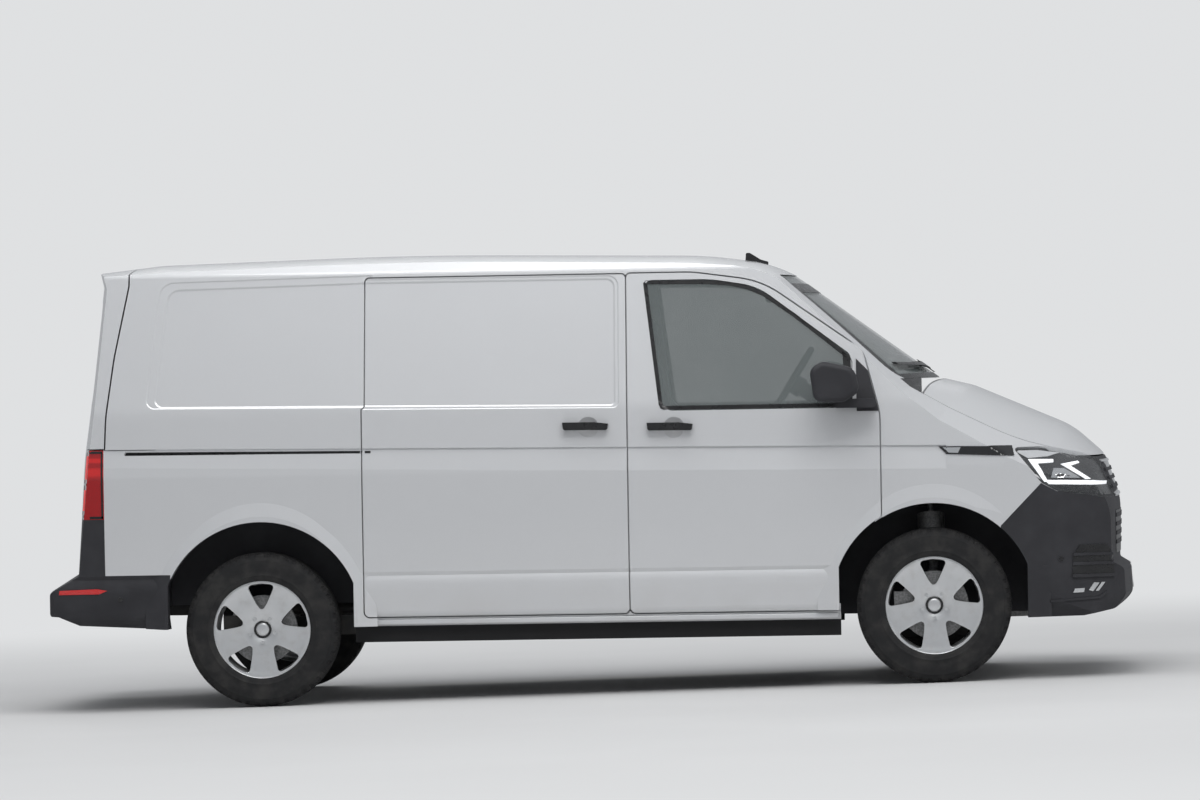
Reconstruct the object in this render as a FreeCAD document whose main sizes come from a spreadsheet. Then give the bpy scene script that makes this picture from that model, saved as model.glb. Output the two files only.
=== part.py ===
"""Panel van, short wheelbase, built as an assembly of its real panels and running gear.

X points forward, Y to the driver's side, Z up; the origin is on the ground under the
middle of the van. All lengths are in millimetres.

The unladen van stands with its nose a little low. The body pieces are drawn level, with
heights measured from the same origin, and are then turned by the rake; wheels, axles and
knuckles are drawn straight on the ground.
"""

import FreeCAD
import Part
import math
import os
import Sketcher

SIZES = {
    "whole van": {
        "body_length": 4904,
        "body_width": 1904,
        "body_height": 1979,
        "wheelbase": 3000,
        "front_overhang": 908,
        "track": 1628,
        "rake_degrees": 1.2,
    },
    "panels": {
        "wall": 60,
        "door_skin": 28,
        "jamb_lap": 34,
        "shut_gap": 6,
        "jamb_gap": 13,
        "jamb_step": 6,
        "lid_gap": 7,
        "bonnet_depth": 34,
        "hinge_width": 60,
        "hinge_length": 60,
        "hinge_depth": 22,
        "bonnet_hinge_out": 580,
        "tailgate_hinge_out": 480,
        "pressing_first": 3,
        "pressing_full": 7,
        "pressing_run": 14,
        "rail_slot_depth": 20,
        "glass_thickness": 6,
        "glass_inset": 5,
        "screen_inset": 3,
        "sheet_thickness": 8,
        "overrun": 40,
    },
    "wheel arches": {
        "arch_radius": 450,
        "arch_half_width": 416,
        "arch_trim": 6,
        "front_arch_lift": 6,
        "rear_arch_lift": 32,
        "wheelhouse_wall": 8,
        "wheelhouse_margin": 24,
        "front_wheelhouse_inner": 485,
        "rear_wheelhouse_inner": 629,
        "liner_wall": 6,
        "front_liner_low": 330,
        "rear_liner_low": 420,
    },
    "tyres and rims": {
        "tyre_radius": 345,
        "tyre_width": 215,
        "tread_width": 178,
        "tread_crown": 5,
        "tyre_shoulder": 22,
        "shoulder_tuck": 8,
        "bead_taper": 10,
        "rim_radius": 233,
        "rim_seat_radius": 216,
        "rim_barrel_radius": 202,
        "rim_width": 190,
        "rim_lip": 12,
        "rim_wall": 7,
        "spoke_dish": 18,
        "spoke_thickness": 22,
        "rim_window_count": 5,
        "rim_window_outer": 192,
        "rim_window_inner": 128,
        "rim_window_half_angle": 17,
        "cap_radius": 34,
        "cap_height": 8,
        "hub_bore": 25.6,
        "hub_boss_radius": 44,
        "hub_boss_length": 42,
        "brake_disc_radius": 152,
        "brake_disc_thickness": 26,
        "brake_disc_offset": 30,
        "hat_radius": 82,
        "hat_wall": 9,
    },
    "suspension and axles": {
        "kingpin_low_out": 730,
        "kingpin_low_up": 205,
        "kingpin_lean_degrees": 13,
        "strut_length": 600,
        "ball_joint_radius": 24,
        "upright_length": 320,
        "strut_radius": 26,
        "damper_length": 80,
        "spring_radius": 60,
        "spring_length": 155,
        "spring_rod_radius": 11,
        "knuckle_radius": 44,
        "stub_radius": 25,
        "running_clearance": 1,
        "disc_clearance": 6,
        "caliper_length": 130,
        "caliper_reach": 178,
        "caliper_inner": 95,
        "caliper_cheek": 26,
        "subframe_low": 190,
        "subframe_depth": 70,
        "subframe_length": 300,
        "subframe_half_width": 478,
        "arm_half_length": 35,
        "arm_depth": 32,
        "trailing_arm_out": 600,
        "trailing_arm_width": 60,
        "trailing_arm_length": 460,
        "rear_beam_radius": 38,
        "rear_spring_radius": 45,
        "seat_gap": 0.3,
    },
    "front frame and engine": {
        "front_rail_out": 400,
        "front_rail_width": 70,
        "front_rail_up": 430,
        "front_rail_depth": 100,
        "front_rail_length": 770,
        "tower_radius": 70,
        "tower_clearance": 10,
        "tower_height": 130,
        "mount_thickness": 18,
        "crash_beam_half_width": 600,
        "engine_behind": 20,
        "engine_length": 460,
        "engine_half_width": 330,
        "engine_height": 620,
    },
    "floor and cab": {
        "load_floor_up": 590,
        "cab_floor_up": 520,
        "floor_depth": 50,
        "rail_out": 420,
        "rail_width": 80,
        "rail_depth": 90,
        "dash_half_width": 790,
        "column_degrees": 32,
        "column_radius": 36,
        "column_length": 300,
        "seat_offset": 420,
        "seat_half_width": 255,
        "seat_base_inset": 50,
        "bench_half_width": 405,
        "bench_offset": 400,
        "headrest_half_width": 130,
        "steering_radius": 175,
        "steering_grip": 15,
        "steering_hub_radius": 46,
        "steering_hub_depth": 60,
        "steering_spoke_width": 40,
    },
    "under the floor": {
        "tank_ahead": 560,
        "tank_length": 620,
        "tank_width": 340,
        "tank_out": 20,
        "tank_round": 40,
        "tank_depth": 190,
        "pipe_radius": 28,
        "pipe_behind": 120,
        "pipe_length": 2820,
        "muffler_radius": 88,
        "muffler_ahead": 560,
        "muffler_length": 620,
        "exhaust_out": 200,
        "spare_behind": 415,
        "spare_width": 180,
        "spare_radius": 308,
    },
    "mirrors, handles, wipers and aerial": {
        "sail_thickness": 5,
        "mirror_inner": 985,
        "mirror_outer": 1148,
        "mirror_round": 24,
        "handle_stand_off": 34,
        "handle_gap": 18,
        "handle_grip_half": 78,
        "cup_radius": 90,
        "cup_depth": 15,
        "aerial_half_width": 16,
        "wiper_height": 12,
        "wiper_gap": 2,
    },
}

doc = FreeCAD.newDocument("PanelVan")
sheet = doc.addObject("Spreadsheet::Sheet", "Sizes")


def fill_sheet():
    """Write every driving size into the sheet, one row each, with its name as alias."""
    row = 1
    for group, values in SIZES.items():
        sheet.set(f"A{row}", group)
        row += 1
        for name, value in values.items():
            sheet.set(f"A{row}", name)
            sheet.set(f"B{row}", str(value))
            sheet.setAlias(f"B{row}", name)
            row += 1
    doc.recompute()


class Size:
    """A length that keeps both its number and the sheet expression that gives it."""

    def __init__(self, value, text):
        self.value = value
        self.text = text

    def join(self, other, sign, value):
        right = other.text if isinstance(other, Size) else repr(other)
        return Size(value, f"({self.text} {sign} {right})")

    def __add__(self, other):
        return self.join(other, "+", self.value + number(other))

    def __sub__(self, other):
        return self.join(other, "-", self.value - number(other))

    def __mul__(self, other):
        return self.join(other, "*", self.value * number(other))

    def __truediv__(self, other):
        return self.join(other, "/", self.value / number(other))

    def __neg__(self):
        return Size(-self.value, f"(0 - {self.text})")


def number(size):
    return size.value if isinstance(size, Size) else float(size)


def cell(name):
    """A driving size from the sheet."""
    return Size(float(sheet.get(name)), f"Sizes.{name}")


fill_sheet()
ZERO = Size(0.0, "0")
LENGTH = cell("body_length")
WIDTH = cell("body_width")
HEIGHT = cell("body_height")
WALL = cell("wall")
SHUT = cell("shut_gap")
SEAT = cell("seat_gap")
OVERRUN = cell("overrun")
FRONT_X = LENGTH / 2 - cell("front_overhang")
REAR_X = FRONT_X - cell("wheelbase")
HUB_Z = cell("tyre_radius")
HUB_Y = cell("track") / 2
LEAN_AXIS = FreeCAD.Vector(0, 1, 0)
RAKE = FreeCAD.Placement(FreeCAD.Vector(), FreeCAD.Rotation(LEAN_AXIS, sheet.get("rake_degrees")))
LEVEL = RAKE.inverse()
UP = FreeCAD.Vector(0, 0, 1)
ACROSS = FreeCAD.Vector(0, 1, 0)
AHEAD = FreeCAD.Vector(1, 0, 0)


def body_point(ahead, across, up):
    """A point of the wheels' frame, told in the level body's frame."""
    return LEVEL.multVec(FreeCAD.Vector(ahead, across, up))


# Outlines with rounded corners

PLANES = {
    "side": lambda a, b, depth: FreeCAD.Vector(a, depth, b),
    "end": lambda a, b, depth: FreeCAD.Vector(depth, a, b),
    "plan": lambda a, b, depth: FreeCAD.Vector(a, b, depth),
}
NORMALS = {"side": ACROSS, "end": AHEAD, "plan": UP}


def rounded_corner(before, corner, after, radius):
    """Start, middle and end of the arc that rounds one corner of an outline."""
    if radius <= 0:
        return corner, None, corner
    back = (before - corner).normalize()
    onward = (after - corner).normalize()
    angle = back.getAngle(onward)
    run = radius / math.tan(angle / 2)
    inward = (back + onward).normalize() * (radius / math.sin(angle / 2) - radius)
    return corner + back * run, corner + inward, corner + onward * run


# Places nearer together than this many confusions count as one.
SAME_PLACE = 10


def outline(corners, view, depth=0.0):
    """A closed wire through corners of (first, second, radius) in a view's own plane."""
    flat = [FreeCAD.Vector(c[0], c[1], 0) for c in corners]
    radii = [c[2] if len(c) > 2 else 0 for c in corners]
    count = len(flat)
    turns = [rounded_corner(flat[i - 1], flat[i], flat[(i + 1) % count], radii[i]) for i in range(count)]
    put = PLANES[view]
    edges = []
    for i, (start, middle, end) in enumerate(turns):
        if middle is not None:
            arc = [put(p.x, p.y, depth) for p in (start, middle, end)]
            edges.append(Part.Arc(*arc).toShape())
        following = turns[(i + 1) % count][0]
        run = [put(p.x, p.y, depth) for p in (end, following)]
        if run[0].distanceToPoint(run[1]) > Part.Precision.confusion() * SAME_PLACE:
            edges.append(Part.LineSegment(*run).toShape())
    return Part.Wire(edges)


def prism(corners, view, low, high, grow=0.0):
    """An outline filled and drawn out from low to high, grown or shrunk in its plane."""
    face = Part.Face(outline(corners, view, low))
    if grow:
        face = face.makeOffset2D(grow)
    return face.extrude(NORMALS[view] * (high - low))


def scaled(shares, first, second, radius=None):
    """Corners from shares of two sizes, with radii as shares of the body height."""
    round_by = number(radius or HEIGHT)
    wide, tall = number(first), number(second)
    return [(s[0] * wide, s[1] * tall) + tuple(r * round_by for r in s[2:]) for s in shares]


def side_view(shares):
    return scaled(shares, LENGTH, HEIGHT)


def end_view(shares):
    return scaled(shares, WIDTH, HEIGHT)


def plan_view(shares):
    return scaled(shares, LENGTH, WIDTH)


def mirrored(shape):
    return shape.mirror(FreeCAD.Vector(), ACROSS)


def both(shape):
    """The piece with its twin across the middle of the van."""
    return Part.makeCompound(shape.Solids + mirrored(shape).Solids)


def largest(shape):
    """The main solid of a cut, without the slivers that thin walls leave."""
    return max(shape.Solids, key=lambda solid: solid.Volume)


PIECES = []
# One litre in cubic millimetres.
LITRE = 1e6


def piece(label, shape, placement=RAKE):
    """One named panel of the body, drawn level and then raked."""
    item = doc.addObject("Part::Feature", label)
    item.Shape = shape if len(shape.Solids) > 1 else shape.Solids[0]
    item.Placement = placement
    item.Label = label
    PIECES.append(item)
    return item


# The body's outer form
#
# Three forms shared by every panel: the length profile, lofted across the van so that nose,
# bonnet and windscreen bow back and drop towards the sides; the cross-section; the plan.

# Each corner: ahead, up, radius, then how far it sweeps back and drops one metre out.
PROFILE_SHARES = [
    (-0.4751, 0.1263, 0, 0.0303, 0),
    (-0.4863, 0.1668, 0.0303, 0.0303, 0),
    (-0.502, 0.1981, 0.0101, 0.0303, 0),
    (-0.502, 0.2476, 0.0101, 0.0303, 0),
    (-0.4782, 0.286, 0.0081, 0.0404, 0),
    (-0.4735, 0.5457, 0.758, 0.0556, 0),
    (-0.467, 0.6569, 0.1516, 0.0556, 0),
    (-0.4531, 0.9399, 0.0202, 0.0606, 0.0101),
    (-0.456, 0.9727, 0.003, 0.0606, 0.0202),
    (-0.3976, 0.9889, 0.1516, 0.0303, 0.0404),
    (-0.1631, 1.0035, 9.0955, 0.0303, 0.0404),
    (0.1101, 0.9904, 0.9096, 0.0632, 0.0404),
    (0.1662, 0.9707, 0.3032, 0.0657, 0.0202),
    (0.1927, 0.9389, 0.1263, 0.0682, 0.0051),
    (0.3242, 0.7004, 0.0303, 0.1137, 0.0354),
    (0.3548, 0.6817, 0.1263, 0.1036, 0.091),
    (0.4456, 0.5851, 0.2021, 0.0758, 0.1364),
    (0.4747, 0.5205, 0.0657, 0.0606, 0.0606),
    (0.4886, 0.4209, 0.1516, 0.0505, 0.0202),
    (0.4874, 0.283, 0.0101, 0.0455, 0),
    (0.4976, 0.2668, 0.0152, 0.0455, 0),
    (0.4986, 0.2052, 0.0202, 0.0455, 0),
    (0.4751, 0.1263, 0, 0.0455, 0),
]
# Half of the cross-section, from the sill up to the middle of the roof.
SECTION_SHARES = [
    (0.4559, 0.1627),
    (0.4827, 0.188, 0.0303),
    (0.4937, 0.2587, 0.0606),
    (0.4879, 0.2769),
    (0.4921, 0.285),
    (0.4953, 0.384, 0.4548),
    (0.4953, 0.5053, 0.0808),
    (0.49, 0.567, 0.3032),
    (0.4842, 0.6493, 0.2021),
    (0.4233, 0.9601, 0.0303),
    (0.395, 1.0106),
    (0, 1.0308),
]
# Half of the plan, from the middle of the tail to the middle of the nose.
PLAN_SHARES = [
    (-0.5077, 0),
    (-0.5061, 0.3782),
    (-0.4914, 0.5011, 0.0632),
    (0.3467, 0.5011, 0.758),
    (0.4445, 0.4827, 0.283),
    (0.4935, 0.4118, 0.1061),
    (0.5108, 0),
]
# Below the belt line the flank is set back, deepest at the line itself. Each end of that
# groove: ahead, height of the line, how far out its bottom lies; then its height.
BELT_SHARES = [(-0.469, 0.571, 0.4863), (0.3263, 0.5508, 0.4863)]
BELT_RUN_SHARES = (0.0531, 0.4953)
# Each wheel arch swells out to a flat rim. Rings from outside to inside, as the distance out
# from the middle of the van, then the ring's reach ahead of the wheel and above it.
FLARE_SHARES = [(0.5, 0.0881, 0.2395), (0.4863, 0.1058, 0.3284)]
LOFT_SECTIONS = 9
SWEEP_POWER = 2
DROP_POWER = 3
# The higher this power, the nearer to the roof an inset starts to lower the section.
ROOF_POWER = 8
# How much of an inset an outside corner's radius loses.
CORNER_LOSS = 1.5
METRE_SHARE = 0.5252


def length_form(inset):
    """The side profile lofted across the van, moved inwards by the inset."""
    reach = METRE_SHARE * WIDTH.value
    wires = []
    for k in range(LOFT_SECTIONS):
        out = 2 * k / (LOFT_SECTIONS - 1) - 1
        corners = []
        for ahead, up, radius, sweep, drop in PROFILE_SHARES:
            back = math.copysign(sweep * HEIGHT.value * abs(out) ** SWEEP_POWER + inset, ahead)
            fall = drop * HEIGHT.value * abs(out) ** DROP_POWER
            lower = 0 if radius == 0 else inset
            place = (ahead * LENGTH.value - back, up * HEIGHT.value - fall - lower)
            corners.append(place + (radius * HEIGHT.value,))
        wires.append(outline(corners, "side", out * reach))
    return Part.makeLoft(wires, True, False)


def section_form(inset):
    """The cross-section drawn out along the van, moved inwards by the inset."""
    half = []
    for y, z, *radius in end_view(SECTION_SHARES):
        lower = inset * (z / HEIGHT.value) ** ROOF_POWER
        half.append((max(y - inset, 0), z - lower) + tuple(radius))
    half[-1] = (0, half[-1][1]) + half[-1][2:]
    floor = PROFILE_SHARES[0][1] * HEIGHT.value
    twin = [(-c[0],) + c[1:] for c in half[:-1]]
    ring = [(half[0][0], floor)] + half + twin[::-1] + [(-half[0][0], floor)]
    return prism(ring, "end", -LENGTH.value, LENGTH.value)


def plan_form(inset):
    half = []
    for x, y, *radius in plan_view(PLAN_SHARES):
        shrunk = tuple(r - inset * CORNER_LOSS if r > inset * 2 else r for r in radius)
        half.append((x - math.copysign(inset, x), max(y - inset, 0)) + shrunk)
    twin = [(c[0], -c[1]) + c[2:] for c in half[1:-1]]
    return prism(half + twin[::-1], "plan", 0, HEIGHT.value + OVERRUN.value)


def belt_groove():
    """The long set-back below the belt line on the left side."""
    run, edge = BELT_RUN_SHARES
    ends = []
    for ahead, up, bottom in BELT_SHARES:
        x, z, y = ahead * LENGTH.value, up * HEIGHT.value, bottom * WIDTH.value
        drop = run * HEIGHT.value
        rise_out = edge * WIDTH.value - y
        corners = [(y, z), (WIDTH.value, z), (WIDTH.value, z - drop * 2), (y + rise_out * 2, z - drop * 2)]
        ends.append(outline(corners, "end", x))
    return Part.makeLoft(ends, True, True)


# Where a turned ellipse's parameter runs over the top of an arch, in radians.
UPPER_HALF = (math.pi * 1.5, math.pi * 2.5)


def arch_flare(axle, lift):
    """The swelling round one wheel arch on the left side, open towards the ground."""
    centre = body_point(axle.value, 0, HUB_Z.value)
    middle = centre.z + number(lift)
    low = SECTION_SHARES[0][1] * HEIGHT.value
    rings = []
    for out, ahead, up in FLARE_SHARES:
        y, reach, rise = out * WIDTH.value, ahead * LENGTH.value, up * HEIGHT.value
        around = Part.Ellipse(FreeCAD.Vector(0, rise, 0), FreeCAD.Vector(reach, 0, 0), FreeCAD.Vector())
        arc = around.toShape(*UPPER_HALF)
        arc.Placement = FreeCAD.Placement(FreeCAD.Vector(centre.x, y, middle), FreeCAD.Rotation(AHEAD, 90))
        ends = [vertex.Point for vertex in arc.Vertexes]
        feet = [FreeCAD.Vector(p.x, p.y, low) for p in ends]
        path = [ends[0], feet[0], feet[1], ends[1]]
        edges = [arc] + [Part.LineSegment(*pair).toShape() for pair in zip(path, path[1:])]
        rings.append(Part.Wire(Part.__sortEdges__(edges)))
    return Part.makeLoft(rings, True, True)


def flank_section():
    """The cross-section with wheel arches swollen and the belt groove cut, on both sides."""
    flares = [arch_flare(FRONT_X, cell("front_arch_lift")), arch_flare(REAR_X, cell("rear_arch_lift"))]
    groove = belt_groove()
    tools = flares + [mirrored(flare) for flare in flares]
    return section_form(0).cut([groove, mirrored(groove)]).fuse(tools)


dressed_section = flank_section()


def side_form(inset):
    """The flanks alone, without nose, screen or tail: enough for doors and side panels."""
    across = dressed_section if inset == 0 else section_form(inset)
    return across.common(plan_form(inset))

outer_form = dressed_section.common(plan_form(0)).common(length_form(0))
inner_form = section_form(WALL.value).common(plan_form(WALL.value)).common(length_form(WALL.value))
shell = outer_form.cut(inner_form)

# Outlines that split the shell where the real panels meet

FRONT_DOOR_SHARES = [
    (0.0369, 0.1809, 0.0152),
    (0.0369, 0.951, 0.0121),
    (0.0979, 0.951, 0.2527),
    (0.1611, 0.9288, 0.2122),
    (0.2529, 0.7681, 0.0556),
    (0.2675, 0.6266, 0.1516),
    (0.2675, 0.1809, 0.0005),
]
SLIDING_DOOR_SHARES = [
    (-0.2049, 0.1809, 0.0152),
    (-0.2049, 0.6518, 0.004),
    (-0.2021, 0.6579, 0.004),
    (-0.2013, 0.95, 0.0121),
    (0.0381, 0.95, 0.0121),
    (0.0381, 0.1809, 0.0152),
]
DOOR_WINDOW_SHARES = [
    (0.0534, 0.9328, 0.0182),
    (0.1142, 0.9328, 0.3032),
    (0.157, 0.9156, 0.1516),
    (0.241, 0.758, 0.0202),
    (0.2427, 0.6377, 0.0152),
    (0.0673, 0.6377, 0.0354),
]
WINDSCREEN_SHARES = [
    (-0.3703, 0.9409, 0.0354),
    (0.3703, 0.9409, 0.0354),
    (0.4317, 0.7004, 0.0303),
    (-0.4317, 0.7004, 0.0303),
]
REAR_WINDOW_SHARES = [
    (-0.3361, 0.9045, 0.0354),
    (0.3361, 0.9045, 0.0354),
    (0.3676, 0.6746, 0.0404),
    (-0.3676, 0.6746, 0.0404),
]
TAILGATE_SEAM_SHARES = [
    (-0.4078, 1.0056),
    (-0.416, 0.9389, 0.0758),
    (-0.4294, 0.7761, 0.4548),
    (-0.437, 0.6417, 0.4548),
    (-0.4382, 0.569),
]
BONNET_PLAN_SHARES = [
    (0.3053, -0.4202),
    (0.3344, 0, 1.1622),
    (0.3053, 0.4202),
    (0.3874, 0.4202, 0.2527),
    (0.4323, 0.3755, 0.2527),
    (0.469, 0.2941),
    (0.5302, 0.2941),
    (0.5302, -0.2941),
    (0.469, -0.2941),
    (0.4323, -0.3755, 0.2527),
    (0.3874, -0.4202, 0.2527),
]
COWL_PLAN_SHARES = [
    (0.2447, -0.4202),
    (0.3053, -0.4202),
    (0.3344, 0, 1.1622),
    (0.3053, 0.4202),
    (0.2447, 0.4202),
]
LAMP_SHARES = [
    (0.386, 0.5417, 0.0061),
    (0.4119, 0.5432, 0.1011),
    (0.5302, 0.5114),
    (0.5302, 0.4255),
    (0.4715, 0.4275, 0.0303),
    (0.425, 0.4437, 0.0303),
    (0.4117, 0.4624, 0.0152),
]
FENDER_SHARES = [
    (0.2675, 0.1011),
    (0.2675, 0.6316, 0.004),
    (0.292, 0.6377, 0.0061),
    (0.3053, 0.6721),
    (0.3053, 0.758),
    (0.5302, 0.758),
    (0.5302, 0.1011),
]
FRONT_BUMPER_SHARES = [
    (0.3744, 0.1011),
    (0.3744, 0.3674),
    (0.4115, 0.4618),
    (0.425, 0.4437),
    (0.4715, 0.4275),
    (0.5302, 0.4255),
    (0.5302, 0.1011),
]
# What is open under the nose, from the side: the bumper ends above it.
UNDER_NOSE_SHARES = [
    (0.3744, 0),
    (0.3744, 0.1582),
    (0.4488, 0.1622),
    (0.4759, 0.1758),
    (0.4943, 0.1976),
    (0.5302, 0.2102),
    (0.5302, 0),
]
# The rear bumper's outline from the side; its upper edge is where the tailgate ends.
REAR_BUMPER_SHARES = [
    (-0.3805, 0.1617),
    (-0.3805, 0.286),
    (-0.5302, 0.286),
    (-0.5302, 0.2047),
    (-0.4837, 0.194),
    (-0.4651, 0.1733),
]
# The blind panels are pressed in by steps; each outline lies inside the one before.
REAR_BLANK_SHARES = [
    [(-0.4021, 0.6599, 0.0202), (-0.3878, 0.9459, 0.0354), (-0.1937, 0.955), (-0.1937, 0.6549)],
    [(-0.3944, 0.662, 0.0202), (-0.3809, 0.9298, 0.0303), (-0.1937, 0.9389), (-0.1937, 0.6569)],
]
DOOR_BLANK_SHARES = [
    [(-0.21, 0.6508), (-0.21, 0.9459), (0.031, 0.9459, 0.0253), (0.0306, 0.6448, 0.0152)],
    [(-0.21, 0.6579), (-0.21, 0.9389), (0.0277, 0.9389, 0.0202), (0.0273, 0.6508, 0.0121)],
]
# The flank's upper plane, from its foot to its head, as distance out and height.
UPPER_PLANE_SHARES = [(0.4842, 0.6493), (0.4233, 0.9601)]
RAIL_SLOT_SHARES = [
    (-0.4213, 0.5568, 0.0015),
    (-0.4201, 0.5639, 0.0015),
    (-0.1958, 0.5589),
    (-0.1958, 0.5528),
]
# Middle of each hollow behind a door handle.
FRONT_CUP_SHARE = (0.0799, 0.4884, 0.6028)
SLIDING_CUP_SHARE = (0.0022, 0.4884, 0.6064)
ROOF_SEAM_SHARE = 0.4055
ROOF_DEPTH_SHARE = 0.9298
TAIL_LAMP_FRONT_SHARE = -0.44
TAIL_LAMP_INNER_SHARE = 0.4149
TAIL_LAMP_LOW_SHARE = 0.4133
TAIL_LAMP_HIGH_SHARE = 0.569
# The tailgate is cut from this many wall thicknesses of the tail.
TAIL_WALLS = 3
# The windscreen and the grille are looked for ahead of these shares of the length.
SCREEN_FROM_SHARE = 0.105
NOSE_FROM_SHARE = 0.4093
# How far a hinge lug bites into the roof, as a share of the wall.
LUG_BITE_SHARE = 0.3333
GRILLE_HALF_SHARE = 0.2941
BONNET_EDGE_SHARE = 0.5164
COWL_TOP_SHARE = 0.7014
COWL_LOW_SHARE = 0.6377
WINDSCREEN_TOP_SHARE = 0.2243
DOOR_HINGE_SHARES = (0.4346, 0.5811)
COWL_EDGE_SHARE = 0.3173
PARTITION_SHARE = 0.0322
FIREWALL_SHARE = 0.2936
FLOOR_END_SHARE = -0.4486
TAIL_MEMBER_SHARES = (-0.4625, 0.3151, 0.2425)

FAR = WIDTH.value
TAIL = -LENGTH.value
HIGH = HEIGHT.value + OVERRUN.value
ROOF_HALF = ROOF_SEAM_SHARE * WIDTH.value
ROOF_LOW = ROOF_DEPTH_SHARE * HEIGHT.value
MIDSHIP = ROOF_HALF / 2
BONNET_EDGE = BONNET_EDGE_SHARE * HEIGHT.value


def block(x0, x1, y0, y1, z0, z1):
    """A plain block between two corners, for cutting a region out of the shell."""
    return Part.makeBox(x1 - x0, y1 - y0, z1 - z0, FreeCAD.Vector(x0, y0, z0))


def arch_cutter(axle, lift, radius, half_width):
    """The arch opening's outline, its flanks cut straight, drawn through both sides."""
    centre = body_point(axle.value, 0, HUB_Z.value)
    top = centre.z + number(lift)
    round_form = Part.makeCylinder(radius, 2 * FAR, FreeCAD.Vector(centre.x, -FAR, top), ACROSS)
    low = block(centre.x - radius, centre.x + radius, -FAR, FAR, 0, top)
    band = block(centre.x - half_width, centre.x + half_width, -FAR, FAR, 0, HIGH)
    return round_form.fuse(low).common(band)


def arch_cutters(margin=0.0):
    radius = number(cell("arch_radius")) + margin
    half = number(cell("arch_half_width")) + margin
    return [
        arch_cutter(FRONT_X, cell("front_arch_lift"), radius, half),
        arch_cutter(REAR_X, cell("rear_arch_lift"), radius, half),
    ]


def door_cut(shares, skin_form):
    """What a door's opening takes out of the body: skin all over, then the jamb."""
    corners = side_view(shares)
    skin = prism(corners, "side", MIDSHIP, FAR).cut(skin_form)
    through = prism(corners, "side", MIDSHIP, FAR, -number(cell("jamb_lap")))
    return skin.fuse(through)


def door_form(shares, layers):
    """A door as thick as the wall: a skin that laps the jamb, and the box behind it."""
    outer, skin_form, inner = layers
    corners = side_view(shares)
    skin = prism(corners, "side", MIDSHIP, FAR, -SHUT.value)
    core = prism(corners, "side", MIDSHIP, FAR, -number(cell("jamb_lap") + cell("jamb_gap")))
    under_roof = block(TAIL, LENGTH.value, 0, ROOF_HALF + SHUT.value, ROOF_LOW - SHUT.value, 2 * HIGH)
    leaf = outer.common(skin).cut(skin_form).fuse(outer.common(core).cut(inner))
    return leaf.cut(under_roof).removeSplitter()


def pressing(outlines):
    """What a stepped pressing takes out of the flank's upper plane, its walls sloping in."""
    foot, head = [(y * WIDTH.value, z * HEIGHT.value) for y, z in UPPER_PLANE_SHARES]
    lean = math.atan2(foot[0] - head[0], head[1] - foot[1])
    onto_plane = FreeCAD.Placement(FreeCAD.Vector(0, *foot), FreeCAD.Rotation(AHEAD, math.degrees(lean)))
    levels = [0, number(cell("pressing_first")), number(cell("pressing_full"))]
    tools = []
    for shares, start, depth in zip(outlines, levels, levels[1:]):
        corners = [(c[0], (c[1] - foot[1]) / math.cos(lean)) + tuple(c[2:]) for c in side_view(shares)]
        top = outline(corners, "side", -start)
        floor_of = Part.Face(outline(corners, "side", -depth))
        run = (depth - start) * number(cell("pressing_run")) / number(cell("pressing_full"))
        outside = Part.Face(top).extrude(ACROSS * (OVERRUN.value + start))
        tools += [outside, Part.makeLoft([top, floor_of.makeOffset2D(-run).OuterWire], True, True)]
    for tool in tools:
        tool.Placement = onto_plane
    return tools


tailgate_seam = side_view(TAILGATE_SEAM_SHARES)
seam_foot = (tailgate_seam[-1][0], TAIL_LAMP_HIGH_SHARE * HEIGHT.value)
gate_side = [(TAIL, 2 * HIGH), (tailgate_seam[0][0], 2 * HIGH)] + tailgate_seam[1:] + [(TAIL, seam_foot[1])]
tailgate_zone = prism(gate_side, "side", -FAR, FAR)
lamp_inner = TAIL_LAMP_INNER_SHARE * WIDTH.value
lamp_front = TAIL_LAMP_FRONT_SHARE * LENGTH.value
lamp_low = TAIL_LAMP_LOW_SHARE * HEIGHT.value
lamp_high = TAIL_LAMP_HIGH_SHARE * HEIGHT.value
bumper_top = REAR_BUMPER_SHARES[1][1] * HEIGHT.value
bumper_front = REAR_BUMPER_SHARES[0][0] * LENGTH.value
corner_left = block(TAIL, lamp_front, lamp_inner, FAR, 0, lamp_high)
lamp_band = block(TAIL, 0, -FAR, FAR, lamp_low, lamp_high)

rear_shell = shell.common(block(TAIL, tailgate_seam[0][0] + WALL.value * TAIL_WALLS, -FAR, FAR, 0, HIGH))
lid_gap = number(cell("lid_gap"))
gate_upper = prism(gate_side, "side", -FAR, FAR, -lid_gap)
gate_half = lamp_inner - lid_gap
gate_lower = block(TAIL, lamp_front, -gate_half, gate_half, bumper_top + lid_gap, lamp_high + lid_gap * 2)
tailgate_full = largest(rear_shell.common(gate_upper.fuse(gate_lower)))
rear_corner = rear_shell.common(corner_left)
tail_lamp = rear_corner.common(lamp_band)
upright = rear_corner.cut(lamp_band)
upright = upright.common(block(TAIL, 0, -FAR, FAR, bumper_top, lamp_low))
bumper_zone = prism(side_view(REAR_BUMPER_SHARES), "side", -FAR, FAR)
rear_bumper = shell.common(bumper_zone).fuse([upright, mirrored(upright)]).removeSplitter()
for cutter in arch_cutters():
    rear_bumper = rear_bumper.cut(cutter)

rear_window_zone = prism(end_view(REAR_WINDOW_SHARES), "end", TAIL, 0)
tailgate = tailgate_full.cut(rear_window_zone)
glass_form = length_form(cell("glass_inset").value)
glass_back = length_form((cell("glass_inset") + cell("glass_thickness")).value)
rear_window = tailgate_full.common(rear_window_zone).common(glass_form).cut(glass_back)

piece("tailgate", tailgate)
piece("rear_window", rear_window)
piece("rear_bumper", rear_bumper)
piece("tail_lamps", both(tail_lamp))

# Front end

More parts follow.
